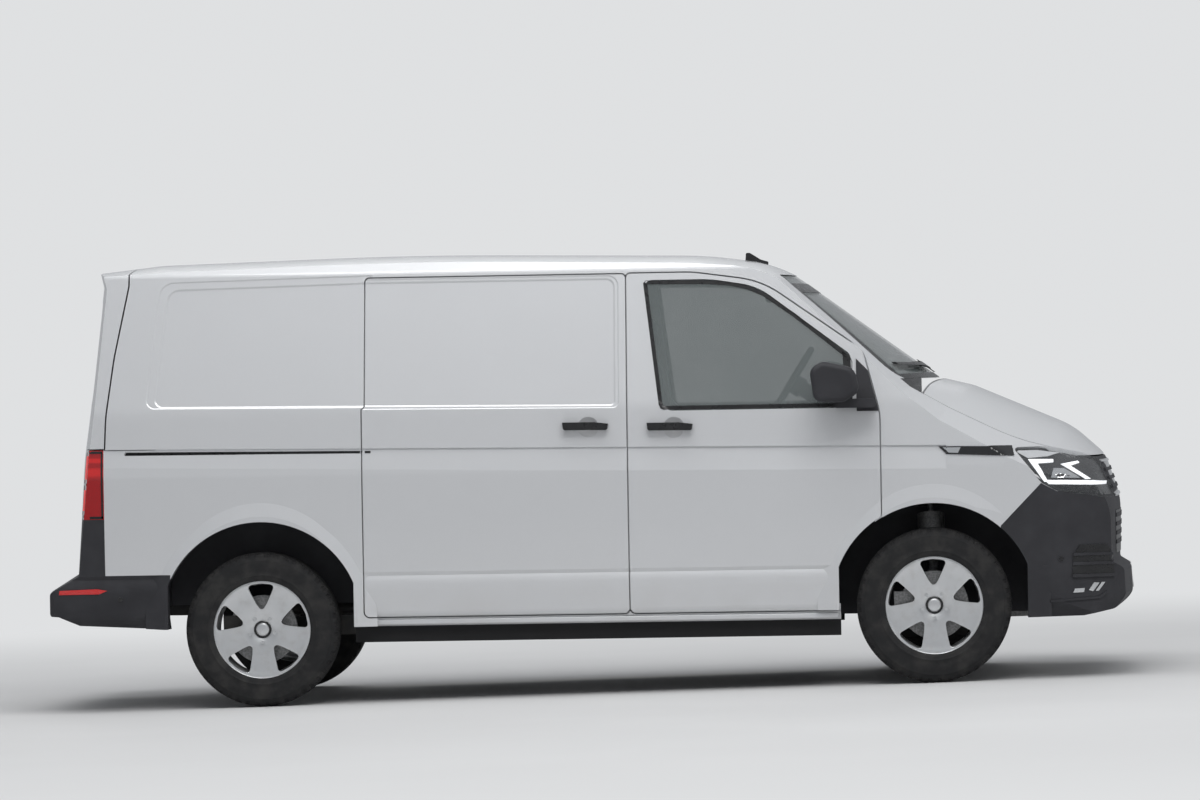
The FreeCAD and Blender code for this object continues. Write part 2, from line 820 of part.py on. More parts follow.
front_shell = shell.common(block(0, LENGTH.value, -FAR, FAR, 0, HIGH))
arches = arch_cutters()
for cutter in arches[:1]:
    front_shell = front_shell.cut(cutter)
screen_zone = prism(end_view(WINDSCREEN_SHARES), "end", SCREEN_FROM_SHARE * LENGTH.value, LENGTH.value)
screen_form = length_form(cell("screen_inset").value)
screen_back = length_form((cell("screen_inset") + cell("glass_thickness")).value)
windscreen = front_shell.common(screen_zone).common(screen_form).cut(screen_back)
framed = front_shell.cut(screen_zone)
bonnet_zone = prism(plan_view(BONNET_PLAN_SHARES), "plan", BONNET_EDGE, HIGH)
cowl_low = COWL_LOW_SHARE * HEIGHT.value
cowl_zone = prism(plan_view(COWL_PLAN_SHARES), "plan", cowl_low, COWL_TOP_SHARE * HEIGHT.value)
lamp_zone = prism(side_view(LAMP_SHARES), "side", GRILLE_HALF_SHARE * WIDTH.value, FAR)
fender_zone = prism(side_view(FENDER_SHARES), "side", 0, FAR)
bumper_zone = prism(side_view(FRONT_BUMPER_SHARES), "side", -FAR, FAR)
bonnet_leaf = prism(plan_view(BONNET_PLAN_SHARES), "plan", BONNET_EDGE + lid_gap, HIGH, -lid_gap)
bonnet_full = front_shell.common(bonnet_leaf)
bonnet_full = bonnet_full.cut(length_form(number(cell("bonnet_depth"))))
nose = framed.cut(bonnet_zone).cut(prism(side_view(UNDER_NOSE_SHARES), "side", -FAR, FAR))
cowl = largest(nose.common(cowl_zone.cut(fender_zone).cut(mirrored(fender_zone))))
nose = nose.cut(cowl_zone)
headlamp = nose.common(lamp_zone)
nose = nose.cut(lamp_zone).cut(mirrored(lamp_zone))
front_bumper = nose.common(bumper_zone)
upper = nose.cut(bumper_zone)
grille_half = GRILLE_HALF_SHARE * WIDTH.value
nose_middle = block(NOSE_FROM_SHARE * LENGTH.value, LENGTH.value, -grille_half, grille_half, 0, BONNET_EDGE)
grille = upper.common(nose_middle)
fender = upper.common(fender_zone).cut(nose_middle)


def hinge_lugs(x0, x1, split, out, low):
    """Two lugs that carry a lid: fast to the fixed panel, just clear under the lid."""
    width = number(cell("hinge_width"))
    deep = length_form(WALL.value + number(cell("hinge_depth")))
    near = length_form(number(cell("bonnet_depth") + SEAT))
    fast = block(min(x0, split), max(x0, split), out, out + width, low, HIGH).common(inner_form).cut(deep)
    free = block(min(x1, split), max(x1, split), out, out + width, low, HIGH).common(near).cut(deep)
    lug = fast.fuse(free)
    return lug.fuse(mirrored(lug))


lug_out = number(cell("bonnet_hinge_out"))
cowl_edge = COWL_EDGE_SHARE * LENGTH.value
lug_reach = number(cell("hinge_length"))
bonnet_lugs = hinge_lugs(cowl_edge - lug_reach, cowl_edge + lug_reach, cowl_edge, lug_out, cowl_low)
cowl = cowl.fuse(bonnet_lugs).removeSplitter()

piece("bonnet", largest(bonnet_full))
piece("windscreen", windscreen)
piece("cowl", largest(cowl))
piece("front_bumper", front_bumper)
piece("grille", grille)
piece("headlamps", both(largest(headlamp)))
piece("fender_left", largest(fender))
piece("fender_right", mirrored(largest(fender)))

# Sides, doors and roof

left_half = block(TAIL, LENGTH.value, 0, FAR, 0, HIGH)
side_outer = side_form(0).common(left_half)
side_skin = side_form(cell("door_skin").value)
side_jamb = side_form((cell("door_skin") + cell("jamb_step")).value)
side_inner = side_form(WALL.value)

roof_zone = block(TAIL, LENGTH.value, -ROOF_HALF, ROOF_HALF, ROOF_LOW, 2 * HIGH)
below_lamps = block(TAIL, lamp_front, -FAR, FAR, 0, lamp_high)
below_bumper = block(TAIL, bumper_front, -FAR, FAR, 0, bumper_top)
tail_zone = tailgate_zone.fuse([below_lamps, below_bumper])
framed_all = shell.cut(screen_zone).cut(tail_zone)
roof = framed_all.common(roof_zone)
roof = roof.common(block(TAIL, WINDSCREEN_TOP_SHARE * LENGTH.value, -FAR, FAR, 0, 2 * HIGH))
gate_edge = tailgate_seam[0][0]


def inside_height(ahead, across):
    """Height of the shell's inner face over one point."""
    line = Part.LineSegment(FreeCAD.Vector(ahead, across, 0), FreeCAD.Vector(ahead, across, HIGH)).toShape()
    return line.common(inner_form).BoundBox.ZMax


def gate_lugs(out):
    """Two flat lugs under the roof's rear edge, let into the roof and just clear of the lid."""
    reach = number(cell("hinge_length"))
    width = number(cell("hinge_width"))
    over_lid = [inside_height(gate_edge + x, out + y) for x in (0, -reach) for y in (0, width)]
    lid_side = min(over_lid) - SEAT.value
    low = lid_side - number(cell("hinge_depth"))
    into_roof = inside_height(gate_edge + reach, out) + WALL.value * LUG_BITE_SHARE
    lug = block(gate_edge - reach, gate_edge, out, out + width, low, lid_side)
    lug = lug.fuse(block(gate_edge, gate_edge + reach, out, out + width, low, into_roof))
    return [lug, mirrored(lug)]


roof = roof.fuse(gate_lugs(number(cell("tailgate_hinge_out")))).removeSplitter()
flank = framed_all.common(left_half).cut(roof_zone).cut(fender_zone).cut(cowl_zone)
for cutter in arch_cutters():
    flank = flank.cut(cutter)
flank = largest(flank)

front_cut = door_cut(FRONT_DOOR_SHARES, side_jamb)
slide_cut = door_cut(SLIDING_DOOR_SHARES, side_jamb)
rear_blank = pressing(REAR_BLANK_SHARES)
door_blank = pressing(DOOR_BLANK_SHARES)
slot_back = side_form(number(cell("rail_slot_depth")))
rail_slot = prism(side_view(RAIL_SLOT_SHARES), "side", MIDSHIP, FAR).cut(slot_back)


def handle_cup(share):
    """The ball that presses a hollow for the fingers behind a door handle."""
    radius = number(cell("cup_radius"))
    out = share[1] * WIDTH.value + radius - number(cell("cup_depth"))
    return Part.makeSphere(radius, FreeCAD.Vector(share[0] * LENGTH.value, out, share[2] * HEIGHT.value))



hinge_front = FRONT_DOOR_SHARES[-1][0] * LENGTH.value - number(cell("lid_gap"))
pads = []
for height in DOOR_HINGE_SHARES:
    middle = height * HEIGHT.value
    tall = number(cell("hinge_length")) / 2
    hinge_back = hinge_front - number(cell("jamb_lap")) / 2
    pads.append(block(hinge_back, hinge_front, 0, FAR, middle - tall, middle + tall))
near_skin = side_form((cell("door_skin") + SEAT).value)
pad_layer = near_skin.cut(side_jamb)
front_pads = [pad.common(pad_layer) for pad in pads]
side_left = flank.cut([front_cut] + rear_blank + door_blank).fuse(front_pads).removeSplitter()
side_right = flank.cut([front_cut, slide_cut, rail_slot] + rear_blank).fuse(front_pads).removeSplitter()
layers = (side_outer, side_skin, side_inner)
window_zone = prism(side_view(DOOR_WINDOW_SHARES), "side", MIDSHIP, FAR)
door_full = door_form(FRONT_DOOR_SHARES, layers)
for cutter in arch_cutters(number(cell("arch_trim")))[:1]:
    door_full = door_full.cut(cutter)
door = door_full.cut([window_zone, handle_cup(FRONT_CUP_SHARE)])
pane_outer = side_form(cell("glass_inset").value)
pane_inner = side_form((cell("glass_inset") + cell("glass_thickness")).value)
window = side_outer.common(window_zone).common(pane_outer).cut(pane_inner)
sliding_door = door_form(SLIDING_DOOR_SHARES, layers).cut(door_blank + [handle_cup(SLIDING_CUP_SHARE)])
for cutter in arch_cutters(number(cell("arch_trim")))[1:]:
    sliding_door = sliding_door.cut(cutter)

piece("roof", largest(roof))
piece("side_left", largest(side_left))
piece("side_right", mirrored(largest(side_right)))
piece("door_left", largest(door))
piece("door_right", mirrored(largest(door)))
piece("window_left", largest(window))
piece("window_right", mirrored(largest(window)))
piece("sliding_door", mirrored(largest(sliding_door)))

# Running gear and inside: drawn with the sheet's own expressions

def bind(item, **sizes):
    """Tie an object's dimensions to sheet expressions."""
    for name, size in sizes.items():
        item.setExpression(name, size.text if isinstance(size, Size) else repr(size))


def move(item, at):
    for axis, size in zip(("x", "y", "z"), at):
        if isinstance(size, Size):
            item.setExpression(f"Placement.Base.{axis}", size.text)


def box(name, at, length, width, height):
    item = doc.addObject("Part::Box", name)
    bind(item, Length=length, Width=width, Height=height)
    move(item, at)
    return item


def rod(name, at, radius, length, axis="Z"):
    """A round bar from a point, along an axis of the van."""
    item = doc.addObject("Part::Cylinder", name)
    turns = {"X": (ACROSS, 90), "Y": (AHEAD, -90), "Z": (UP, 0)}
    item.Placement = FreeCAD.Placement(FreeCAD.Vector(), FreeCAD.Rotation(*turns[axis]))
    bind(item, Radius=radius, Height=length)
    move(item, at)
    return item


def fused(name, items):
    item = doc.addObject("Part::MultiFuse", name)
    item.Shapes = items
    return item


def less(name, base, tool):
    item = doc.addObject("Part::Cut", name)
    item.Base = base
    item.Tool = tool
    return item


def twin(name, source):
    """A mirror image across the middle of the van."""
    item = doc.addObject("Part::Mirroring", name)
    item.Source = source
    item.Normal = ACROSS
    return item


def part(item, label, placement=None):
    """Marks an object as one of the van's pieces."""
    item.Label = label
    if placement is not None:
        item.Placement = placement
    PIECES.append(item)
    return item


def origin_plane(body, role):
    return next(f for f in body.Origin.OriginFeatures if f.Role == role)


def sketch_on(body, role, name):
    sketch = body.newObject("Sketcher::SketchObject", name)
    sketch.AttachmentSupport = [(origin_plane(body, role), "")]
    sketch.MapMode = "FlatFace"
    return sketch


def draw(sketch, corners):
    """A closed outline of straight lines; each corner is a pair of sheet sizes."""
    points = [FreeCAD.Vector(number(a), number(b), 0) for a, b in corners]
    count = len(points)
    for i in range(count):
        sketch.addGeometry(Part.LineSegment(points[i], points[(i + 1) % count]))
    for i in range(count):
        sketch.addConstraint(Sketcher.Constraint("Coincident", i, 2, (i + 1) % count, 1))
    for i, corner in enumerate(corners):
        for kind, size in zip(("DistanceX", "DistanceY"), corner):
            index = sketch.addConstraint(Sketcher.Constraint(kind, -1, 1, i, 1, number(size)))
            if isinstance(size, Size):
                sketch.setExpression(f"Constraints[{index}]", size.text)
    return sketch


def lathed(name, corners, role="YZ_Plane", axis="H_Axis"):
    """A body revolved about an axis of its own plane: the wheel's axle unless told."""
    body = doc.addObject("PartDesign::Body", name)
    sketch = draw(sketch_on(body, role, f"{name}_profile"), corners)
    spin = body.newObject("PartDesign::Revolution", f"{name}_revolution")
    spin.Profile = sketch
    spin.ReferenceAxis = (sketch, [axis])
    spin.Angle = 360
    return body


def drawn_out(name, role, corners, length, offset=None, midplane=False):
    """A body padded from an outline on one of its own planes."""
    body = doc.addObject("PartDesign::Body", name)
    sketch = draw(sketch_on(body, role, f"{name}_profile"), corners)
    pad = body.newObject("PartDesign::Pad", f"{name}_pad")
    pad.Profile = sketch
    pad.setExpression("Length", length.text)
    pad.Midplane = midplane
    doc.recompute()
    return body


def rounded(body, name, radius, pick):
    """Fillets the edges of a body's last feature that the test picks."""
    last = body.Tip
    edges = [f"Edge{i + 1}" for i, edge in enumerate(last.Shape.Edges) if pick(edge)]
    fillet = body.newObject("PartDesign::Fillet", name)
    fillet.Base = (last, edges)
    fillet.setExpression("Radius", radius.text)
    doc.recompute()
    return fillet


def along(axis):
    """A test for straight edges that run along one axis."""
    def check(edge):
        if edge.Curve.TypeId != "Part::GeomLine":
            return False
        return abs(edge.Curve.Direction.dot(axis)) > 1 - Part.Precision.approximation()
    return check


# Wheels

# The bead seat stands this many seating gaps off the rim's own radius.
BEAD_SEATS = 4


def tyre(name):
    outer = cell("tyre_radius")
    half = cell("tyre_width") / 2
    tread = cell("tread_width") / 2
    seat = cell("rim_seat_radius") + SEAT
    bead = cell("rim_width") / 2 - cell("rim_lip") - SEAT
    drop = cell("tyre_shoulder")
    waist = (outer + cell("rim_radius")) / 2
    corners = [
        (-bead, seat),
        (bead, seat),
        (bead, cell("rim_radius") + SEAT),
        (half - cell("bead_taper"), cell("rim_radius") + SEAT * BEAD_SEATS),
        (half, waist),
        (half - cell("shoulder_tuck"), outer - drop),
        (tread, outer - cell("tread_crown")),
        (tread / 2, outer),
        (-tread / 2, outer),
        (-tread, outer - cell("tread_crown")),
        (-(half - cell("shoulder_tuck")), outer - drop),
        (-half, waist),
        (-(half - cell("bead_taper")), cell("rim_radius") + SEAT * BEAD_SEATS),
        (-bead, cell("rim_radius") + SEAT),
    ]
    return lathed(name, corners)


def rim(name):
    half = cell("rim_width") / 2
    lip = cell("rim_lip")
    face = half - cell("spoke_dish")
    back = face - cell("spoke_thickness")
    disc = cell("brake_disc_offset")
    hat = cell("hat_radius")
    corners = [
        (face - cell("hat_wall"), ZERO),
        (face - cell("hat_wall"), cell("hub_bore")),
        (back - cell("hub_boss_length"), cell("hub_bore")),
        (back - cell("hub_boss_length"), cell("hub_boss_radius")),
        (back, cell("hub_boss_radius")),
        (back, hat - cell("hat_wall")),
        (-disc, hat - cell("hat_wall")),
        (-disc, cell("brake_disc_radius")),
        (cell("brake_disc_thickness") - disc, cell("brake_disc_radius")),
        (cell("brake_disc_thickness") - disc, hat),
        (back, hat),
        (back, cell("rim_barrel_radius")),
        (-half, cell("rim_barrel_radius")),
        (-half, cell("rim_radius")),
        (lip - half, cell("rim_radius")),
        (lip - half, cell("rim_seat_radius")),
        (half - lip, cell("rim_seat_radius")),
        (half - lip, cell("rim_radius")),
        (half, cell("rim_radius")),
        (half, cell("rim_radius") - cell("rim_wall")),
        (face, cell("rim_barrel_radius")),
        (face, cell("cap_radius")),
        (face + cell("cap_height"), cell("cap_radius")),
        (face + cell("cap_height"), ZERO),
    ]
    body = lathed(name, corners)
    doc.recompute()
    angle = math.radians(number(cell("rim_window_half_angle")))
    inner = cell("rim_window_inner")
    outer = cell("rim_window_outer")
    window = draw(sketch_on(body, "XZ_Plane", f"{name}_window"), [
        (inner * math.sin(angle), inner * math.cos(angle)),
        (outer * math.sin(angle), outer * math.cos(angle)),
        (-(outer * math.sin(angle)), outer * math.cos(angle)),
        (-(inner * math.sin(angle)), inner * math.cos(angle)),
    ])
    pocket = body.newObject("PartDesign::Pocket", f"{name}_pocket")
    pocket.Profile = window
    pocket.Type = "Length"
    pocket.setExpression("Length", cell("rim_width").text)
    pocket.Reversed = False
    doc.recompute()
    pattern = body.newObject("PartDesign::PolarPattern", f"{name}_pattern")
    pattern.Originals = [pocket]
    pattern.Axis = (origin_axis(body, "Y_Axis"), [""])
    pattern.Angle = 360
    pattern.setExpression("Occurrences", cell("rim_window_count").text)
    body.Tip = pattern
    doc.recompute()
    return body


def origin_axis(body, role):
    return next(f for f in body.Origin.OriginFeatures if f.Role == role)


def set_wheel(body, axle, side):
    """Puts a wheel on its axle: its outer face is drawn towards +Y and turned for the right."""
    if side < 0:
        body.Placement = FreeCAD.Placement(FreeCAD.Vector(), FreeCAD.Rotation(UP, 180))
    move(body, (axle, HUB_Y * side, HUB_Z))
    return body


for end, axle in (("front", FRONT_X), ("rear", REAR_X)):
    for side, sign in (("left", 1), ("right", -1)):
        part(set_wheel(tyre(f"tyre_{end}_{side}_body"), axle, sign), f"tyre_{end}_{side}")
        part(set_wheel(rim(f"rim_{end}_{side}_body"), axle, sign), f"rim_{end}_{side}")

# Knuckles, subframe and rear axle

def strut(name):
    """Ball joint, upright, damper and spring, turned about the kingpin axis."""
    ball = cell("ball_joint_radius")
    upright = cell("upright_length")
    seat = upright + cell("damper_length")
    top = seat + cell("spring_length")
    corners = [
        (ZERO, ZERO),
        (ball, ZERO),
        (ball, upright),
        (cell("strut_radius"), upright),
        (cell("strut_radius"), seat),
        (cell("spring_radius"), seat),
        (cell("spring_radius"), top),
        (cell("spring_rod_radius"), top),
        (cell("spring_rod_radius"), cell("strut_length")),
        (ZERO, cell("strut_length")),
    ]
    body = lathed(name, corners, "XZ_Plane", "V_Axis")
    body.Placement = FreeCAD.Placement(FreeCAD.Vector(), FreeCAD.Rotation(AHEAD, 1))
    body.setExpression("Placement.Rotation.Angle", "Sizes.kingpin_lean_degrees")
    move(body, (FRONT_X, cell("kingpin_low_out"), cell("kingpin_low_up")))
    return body


def stub_axle(name, axle, inner_end):
    """Hub carrier and stub on the left, from an inner end out into the wheel's bore."""
    face = cell("rim_width") / 2 - cell("spoke_dish")
    disc_side = HUB_Y - cell("brake_disc_offset") - cell("disc_clearance")
    inner_place = (axle, inner_end, HUB_Z)
    carrier = rod(f"{name}_carrier", inner_place, cell("knuckle_radius"), disc_side - inner_end, "Y")
    reach = HUB_Y + face - cell("hat_wall") - cell("running_clearance") - inner_end
    stub = rod(f"{name}_stub", inner_place, cell("stub_radius"), reach, "Y")
    outside = cell("caliper_reach")
    inside = cell("caliper_inner")
    across = cell("brake_disc_thickness") + cell("caliper_cheek") * 2 + cell("disc_clearance") * 2
    start = disc_side - cell("caliper_cheek")
    block_form = box(f"{name}_caliper_block", (axle - outside, start, HUB_Z - cell("caliper_length") / 2),
                     outside - inside, across, cell("caliper_length"))
    slot = rod(f"{name}_caliper_slot", (axle, disc_side, HUB_Z),
               cell("brake_disc_radius") + cell("disc_clearance"),
               cell("brake_disc_thickness") + cell("disc_clearance") * 2, "Y")
    caliper = less(f"{name}_caliper", block_form, slot)
    bracket_length = inside + cell("caliper_cheek")
    bracket = box(f"{name}_bracket", (axle - bracket_length, start, HUB_Z - cell("stub_radius")),
                  bracket_length, cell("caliper_cheek"), cell("stub_radius") * 2)
    return [carrier, stub, caliper, bracket]


carrier_inner = cell("kingpin_low_out") - cell("knuckle_radius")
knuckle = fused("knuckle_left_form", [strut("strut_left")] + stub_axle("front", FRONT_X, carrier_inner))
part(knuckle, "knuckle_left")
part(twin("knuckle_right_form", knuckle), "knuckle_right")

cross_top = cell("subframe_low") + cell("subframe_depth")
kingpin_sine = math.sin(math.radians(sheet.get("kingpin_lean_degrees")))
arm_top = cell("kingpin_low_up") - cell("ball_joint_radius") * kingpin_sine - SEAT
arm_end = cell("kingpin_low_out") + cell("ball_joint_radius")
subframe = fused("front_subframe_form", [
    box("subframe_cross",
        (FRONT_X - cell("subframe_length") / 2, -cell("subframe_half_width"), cell("subframe_low")),
        cell("subframe_length"), cell("subframe_half_width") * 2, cell("subframe_depth")),
    box("lower_arms", (FRONT_X - cell("arm_half_length"), -arm_end, arm_top - cell("arm_depth")),
        cell("arm_half_length") * 2, arm_end * 2, cell("arm_depth")),
])
part(subframe, "front_subframe")

rear_inner = cell("trailing_arm_out")
rear_left = stub_axle("rear", REAR_X, rear_inner)
arm_box = box("trailing_arm", (REAR_X - cell("knuckle_radius"), rear_inner, HUB_Z - cell("knuckle_radius")),
              cell("trailing_arm_length"), cell("trailing_arm_width"), cell("knuckle_radius") * 2)
rail_low = number(cell("load_floor_up") - cell("floor_depth") - cell("rail_depth"))
spring_size = number(cell("rear_spring_radius"))
rail_meets = RAKE.multVec(FreeCAD.Vector(body_point(REAR_X.value, 0, HUB_Z.value).x, 0, rail_low)).z
rake_slope = math.tan(math.radians(sheet.get("rake_degrees")))
spring_rise = rail_meets - SEAT.value - spring_size * rake_slope - HUB_Z.value
rear_spring = rod("rear_spring", (REAR_X, cell("rail_out"), HUB_Z), cell("rear_spring_radius"), spring_rise)
rear_half = fused("rear_axle_left", rear_left + [arm_box])
rear_axle = fused("rear_axle_form", [
    rear_half,
    twin("rear_axle_right", rear_half),
    rear_spring,
    twin("rear_spring_right", rear_spring),
    rod("rear_beam", (REAR_X, -rear_inner - cell("trailing_arm_width"), HUB_Z), cell("rear_beam_radius"),
        (rear_inner + cell("trailing_arm_width")) * 2, "Y"),
])
part(rear_axle, "rear_axle")

# Steering wheel: drawn about its own axis, then leaned back along the column

def steering_wheel():
    ring = doc.addObject("Part::Torus", "steering_ring")
    bind(ring, Radius1=cell("steering_radius"), Radius2=cell("steering_grip"))
    hub_length = cell("steering_hub_depth") + cell("steering_grip")
    hub = rod("steering_hub", (0, 0, -cell("steering_hub_depth")), cell("steering_hub_radius"), hub_length)
    spokes = []
    for k, turn in enumerate((0, 120, 240)):
        bar = doc.addObject("Part::Box", f"steering_spoke_{k}")
        width = cell("steering_spoke_width")
        bind(bar, Length=cell("steering_radius"), Width=width, Height=cell("steering_grip"))
        bar.Placement = FreeCAD.Placement(FreeCAD.Vector(), FreeCAD.Rotation(UP, turn))
        angle = math.radians(turn)
        bar.setExpression("Placement.Base.x", (width * (math.sin(angle) / 2)).text)
        bar.setExpression("Placement.Base.y", (-(width * (math.cos(angle) / 2))).text)
        bar.setExpression("Placement.Base.z", (-(cell("steering_grip") / 2)).text)
        spokes.append(bar)
    return fused("steering_form", [ring, hub] + spokes)


STEER_X_SHARE = 0.1827
STEER_Z_SHARE = 0.6943
driver_line = number(cell("seat_offset"))
steer_at = FreeCAD.Vector(STEER_X_SHARE * LENGTH.value, driver_line, STEER_Z_SHARE * HEIGHT.value)
# The wheel's own Z points back and up to the driver.
lean = FreeCAD.Rotation(ACROSS, -(90 - sheet.get("column_degrees")))
steering_place = RAKE.multiply(FreeCAD.Placement(steer_at, lean))
part(steering_wheel(), "steering_wheel", steering_place)

# Floor, wheelhouses, bulkhead, dashboard and seats

FLOOR_TOP = cell("load_floor_up")
CAB_FLOOR = cell("cab_floor_up")
FLOOR_DEEP = cell("floor_depth")
partition_x = PARTITION_SHARE * LENGTH.value
firewall_x = FIREWALL_SHARE * LENGTH.value
tail_end = FLOOR_END_SHARE * LENGTH.value
clear_form = side_form(number(WALL + cell("jamb_step")))


def wheel_well(axle, lift, inner, skin=0.0):
    """The space over one axle's wheels, both sides: wider than the arch it is seen through."""
    wider = number(cell("wheelhouse_margin")) + skin
    between = block(TAIL, LENGTH.value, skin - number(inner), number(inner) - skin, 0, HIGH)
    half = number(cell("arch_half_width")) + wider
    return arch_cutter(axle, lift, number(cell("arch_radius")) + wider, half).cut(between)


# Each axle: place, lift of the arch, inner wall, and the lowest edge of its liners.
AXLES = [
    (FRONT_X, cell("front_arch_lift"), cell("front_wheelhouse_inner"), cell("front_liner_low")),
    (REAR_X, cell("rear_arch_lift"), cell("rear_wheelhouse_inner"), cell("rear_liner_low")),
]


def floor_form():
    """Load floor, cab floor, riser, rails and tail member, with the wheelhouse domes."""
    low = number(FLOOR_TOP - FLOOR_DEEP)
    cab_low = number(CAB_FLOOR - FLOOR_DEEP)
    rail_low = low - number(cell("rail_depth"))
    sizes = zip(TAIL_MEMBER_SHARES, (LENGTH, WIDTH, HEIGHT))
    tail_x, tail_half, tail_top = [share * number(size) for share, size in sizes]
    riser_x = partition_x - number(FLOOR_DEEP)
    slab = block(tail_end, partition_x, -FAR, FAR, low, number(FLOOR_TOP)).common(clear_form)
    members = [
        block(partition_x, firewall_x, -FAR, FAR, cab_low, number(CAB_FLOOR)).common(clear_form),
        block(riser_x, partition_x, -FAR, FAR, cab_low, number(FLOOR_TOP)).common(clear_form),
        block(tail_x, tail_end, -tail_half, tail_half, rail_low, tail_top),
    ]
    for side in (-1, 1):
        middle = side * number(cell("rail_out"))
        half = number(cell("rail_width")) / 2
        members.append(block(tail_end, partition_x, middle - half, middle + half, rail_low, low))
    slab = slab.fuse(members)
    wall = number(cell("wheelhouse_wall"))
    above = block(TAIL, LENGTH.value, -FAR, FAR, cab_low, HIGH)
    for axle, lift, inner, _ in AXLES:
        dome = wheel_well(axle, lift, inner, wall).common(clear_form).common(above)
        slab = slab.fuse(dome).cut(wheel_well(axle, lift, inner))
    return slab.cut(tower_hole()).removeSplitter()


def tower_hole():
    """Room round each strut top, through the front wheelhouses."""
    low = FreeCAD.Vector(number(FRONT_X), number(cell("kingpin_low_out")), number(cell("kingpin_low_up")))
    lean = math.radians(sheet.get("kingpin_lean_degrees"))
    reach = number(cell("strut_length"))
    top = body_point(low.x, low.y - reach * math.sin(lean), low.z + reach * math.cos(lean))
    radius = number(cell("tower_radius") + cell("tower_clearance"))
    hole = Part.makeCylinder(radius, reach, FreeCAD.Vector(top.x, top.y, top.z - reach / 2))
    return hole.fuse(mirrored(hole))


def liner_form():
    """Four black liners, one in each wheelhouse, with the inner wall open at the axle."""
    wall = number(cell("liner_wall"))
    solids = []
    within = clear_form.common(left_half)
    for axle, lift, inner, low in AXLES:
        above = block(TAIL, LENGTH.value, 0, FAR, number(low), HIGH)
        skin = wheel_well(axle, lift, inner).cut(wheel_well(axle, lift, inner, -wall))
        solids += skin.common(within).common(above).cut(tower_hole()).Solids
    return both(Part.makeCompound(solids))


floor = floor_form()
liners = liner_form()
piece("floor", largest(floor))
piece("arch_liners", liners)
sheet_wall = number(cell("sheet_thickness"))
bulkhead = block(partition_x, partition_x + sheet_wall, -FAR, FAR, number(CAB_FLOOR), HIGH)
piece("partition", largest(bulkhead.common(inner_form)))
firewall = block(firewall_x, firewall_x + sheet_wall, -FAR, FAR, number(CAB_FLOOR - FLOOR_DEEP), HIGH)
firewall = firewall.common(inner_form)
for axle, lift, inner, _ in AXLES[:1]:
    firewall = firewall.cut(wheel_well(axle, lift, inner, number(cell("wheelhouse_wall"))))
piece("firewall", largest(firewall))


DASH_SHARES = [
    (0.21, 0.4573, 0.0101),
    (0.2049, 0.6139, 0.0152),
    (0.2162, 0.6306, 0.0202),
    (FIREWALL_SHARE, 0.6326),
    (FIREWALL_SHARE, 0.4447),
    (0.2345, 0.4346, 0.0152),
]


def dashboard():
    """The moulded dashboard across the cab, with the column running into it."""
    half = number(cell("dash_half_width"))
    shape = prism(side_view(DASH_SHARES), "side", -half, half)
    place = FreeCAD.Placement(steer_at, lean)
    start = place.multVec(FreeCAD.Vector(0, 0, -number(cell("steering_hub_depth") + SEAT)))
    ahead = -place.Rotation.multVec(UP)
    column = Part.makeCylinder(number(cell("column_radius")), number(cell("column_length")), start, ahead)
    return shape.fuse(column).removeSplitter()


piece("dashboard", dashboard())

SEAT_SHARES = [
    (0.0438, 0.3739, 0.0303),
    (0.1346, 0.384, 0.0253),
    (0.1513, 0.4042, 0.0202),
    (0.1499, 0.4472, 0.0202),
    (0.1305, 0.4573, 0.0758),
    (0.0816, 0.4386, 0.0303),
    (0.0608, 0.7479, 0.0253),
    (0.0392, 0.7529, 0.0253),
    (0.0418, 0.4548, 0.0505),
]
SEAT_BASE_SHARES = [
    (0.0534, 0.2628),
    (0.051, 0.378),
    (0.1305, 0.3881),
    (0.1254, 0.2628),
]
HEADREST_SHARES = [
    (0.0453, 0.7479),
    (0.04, 0.7883, 0.0101),
    (0.0375, 0.8489, 0.0182),
    (0.0571, 0.854, 0.0202),
    (0.0583, 0.7863, 0.0101),
    (0.0534, 0.7479),
]


def seat_form(middle, half, rests):
    """A seat with its base and head restraints, centred on its own line."""
    shape = prism(side_view(SEAT_SHARES), "side", middle - half, middle + half)
    base_half = half - number(cell("seat_base_inset"))
    base = prism(side_view(SEAT_BASE_SHARES), "side", middle - base_half, middle + base_half)
    shape = shape.fuse(base)
    rest_half = number(cell("headrest_half_width"))
    for line in rests:
        rest_middle = middle + line
        rest = prism(side_view(HEADREST_SHARES), "side", rest_middle - rest_half, rest_middle + rest_half)
        shape = shape.fuse(rest)
    return shape.removeSplitter()


single = number(cell("seat_half_width"))
bench = number(cell("bench_half_width"))
piece("driver_seat", seat_form(driver_line, single, [0]))
piece("passenger_bench", seat_form(-number(cell("bench_offset")), bench, [-bench / 2, bench / 2]))

# Engine, tank, exhaust and spare

engine_box = box("engine_block", (FRONT_X - cell("engine_behind"), -cell("engine_half_width"), cross_top),
         cell("engine_length"), cell("engine_half_width") * 2, cell("engine_height"))
part(engine_box, "engine")


# The plate between rail and strut tower, as a share of the rail's width.
WEB_SHARE = 0.3333


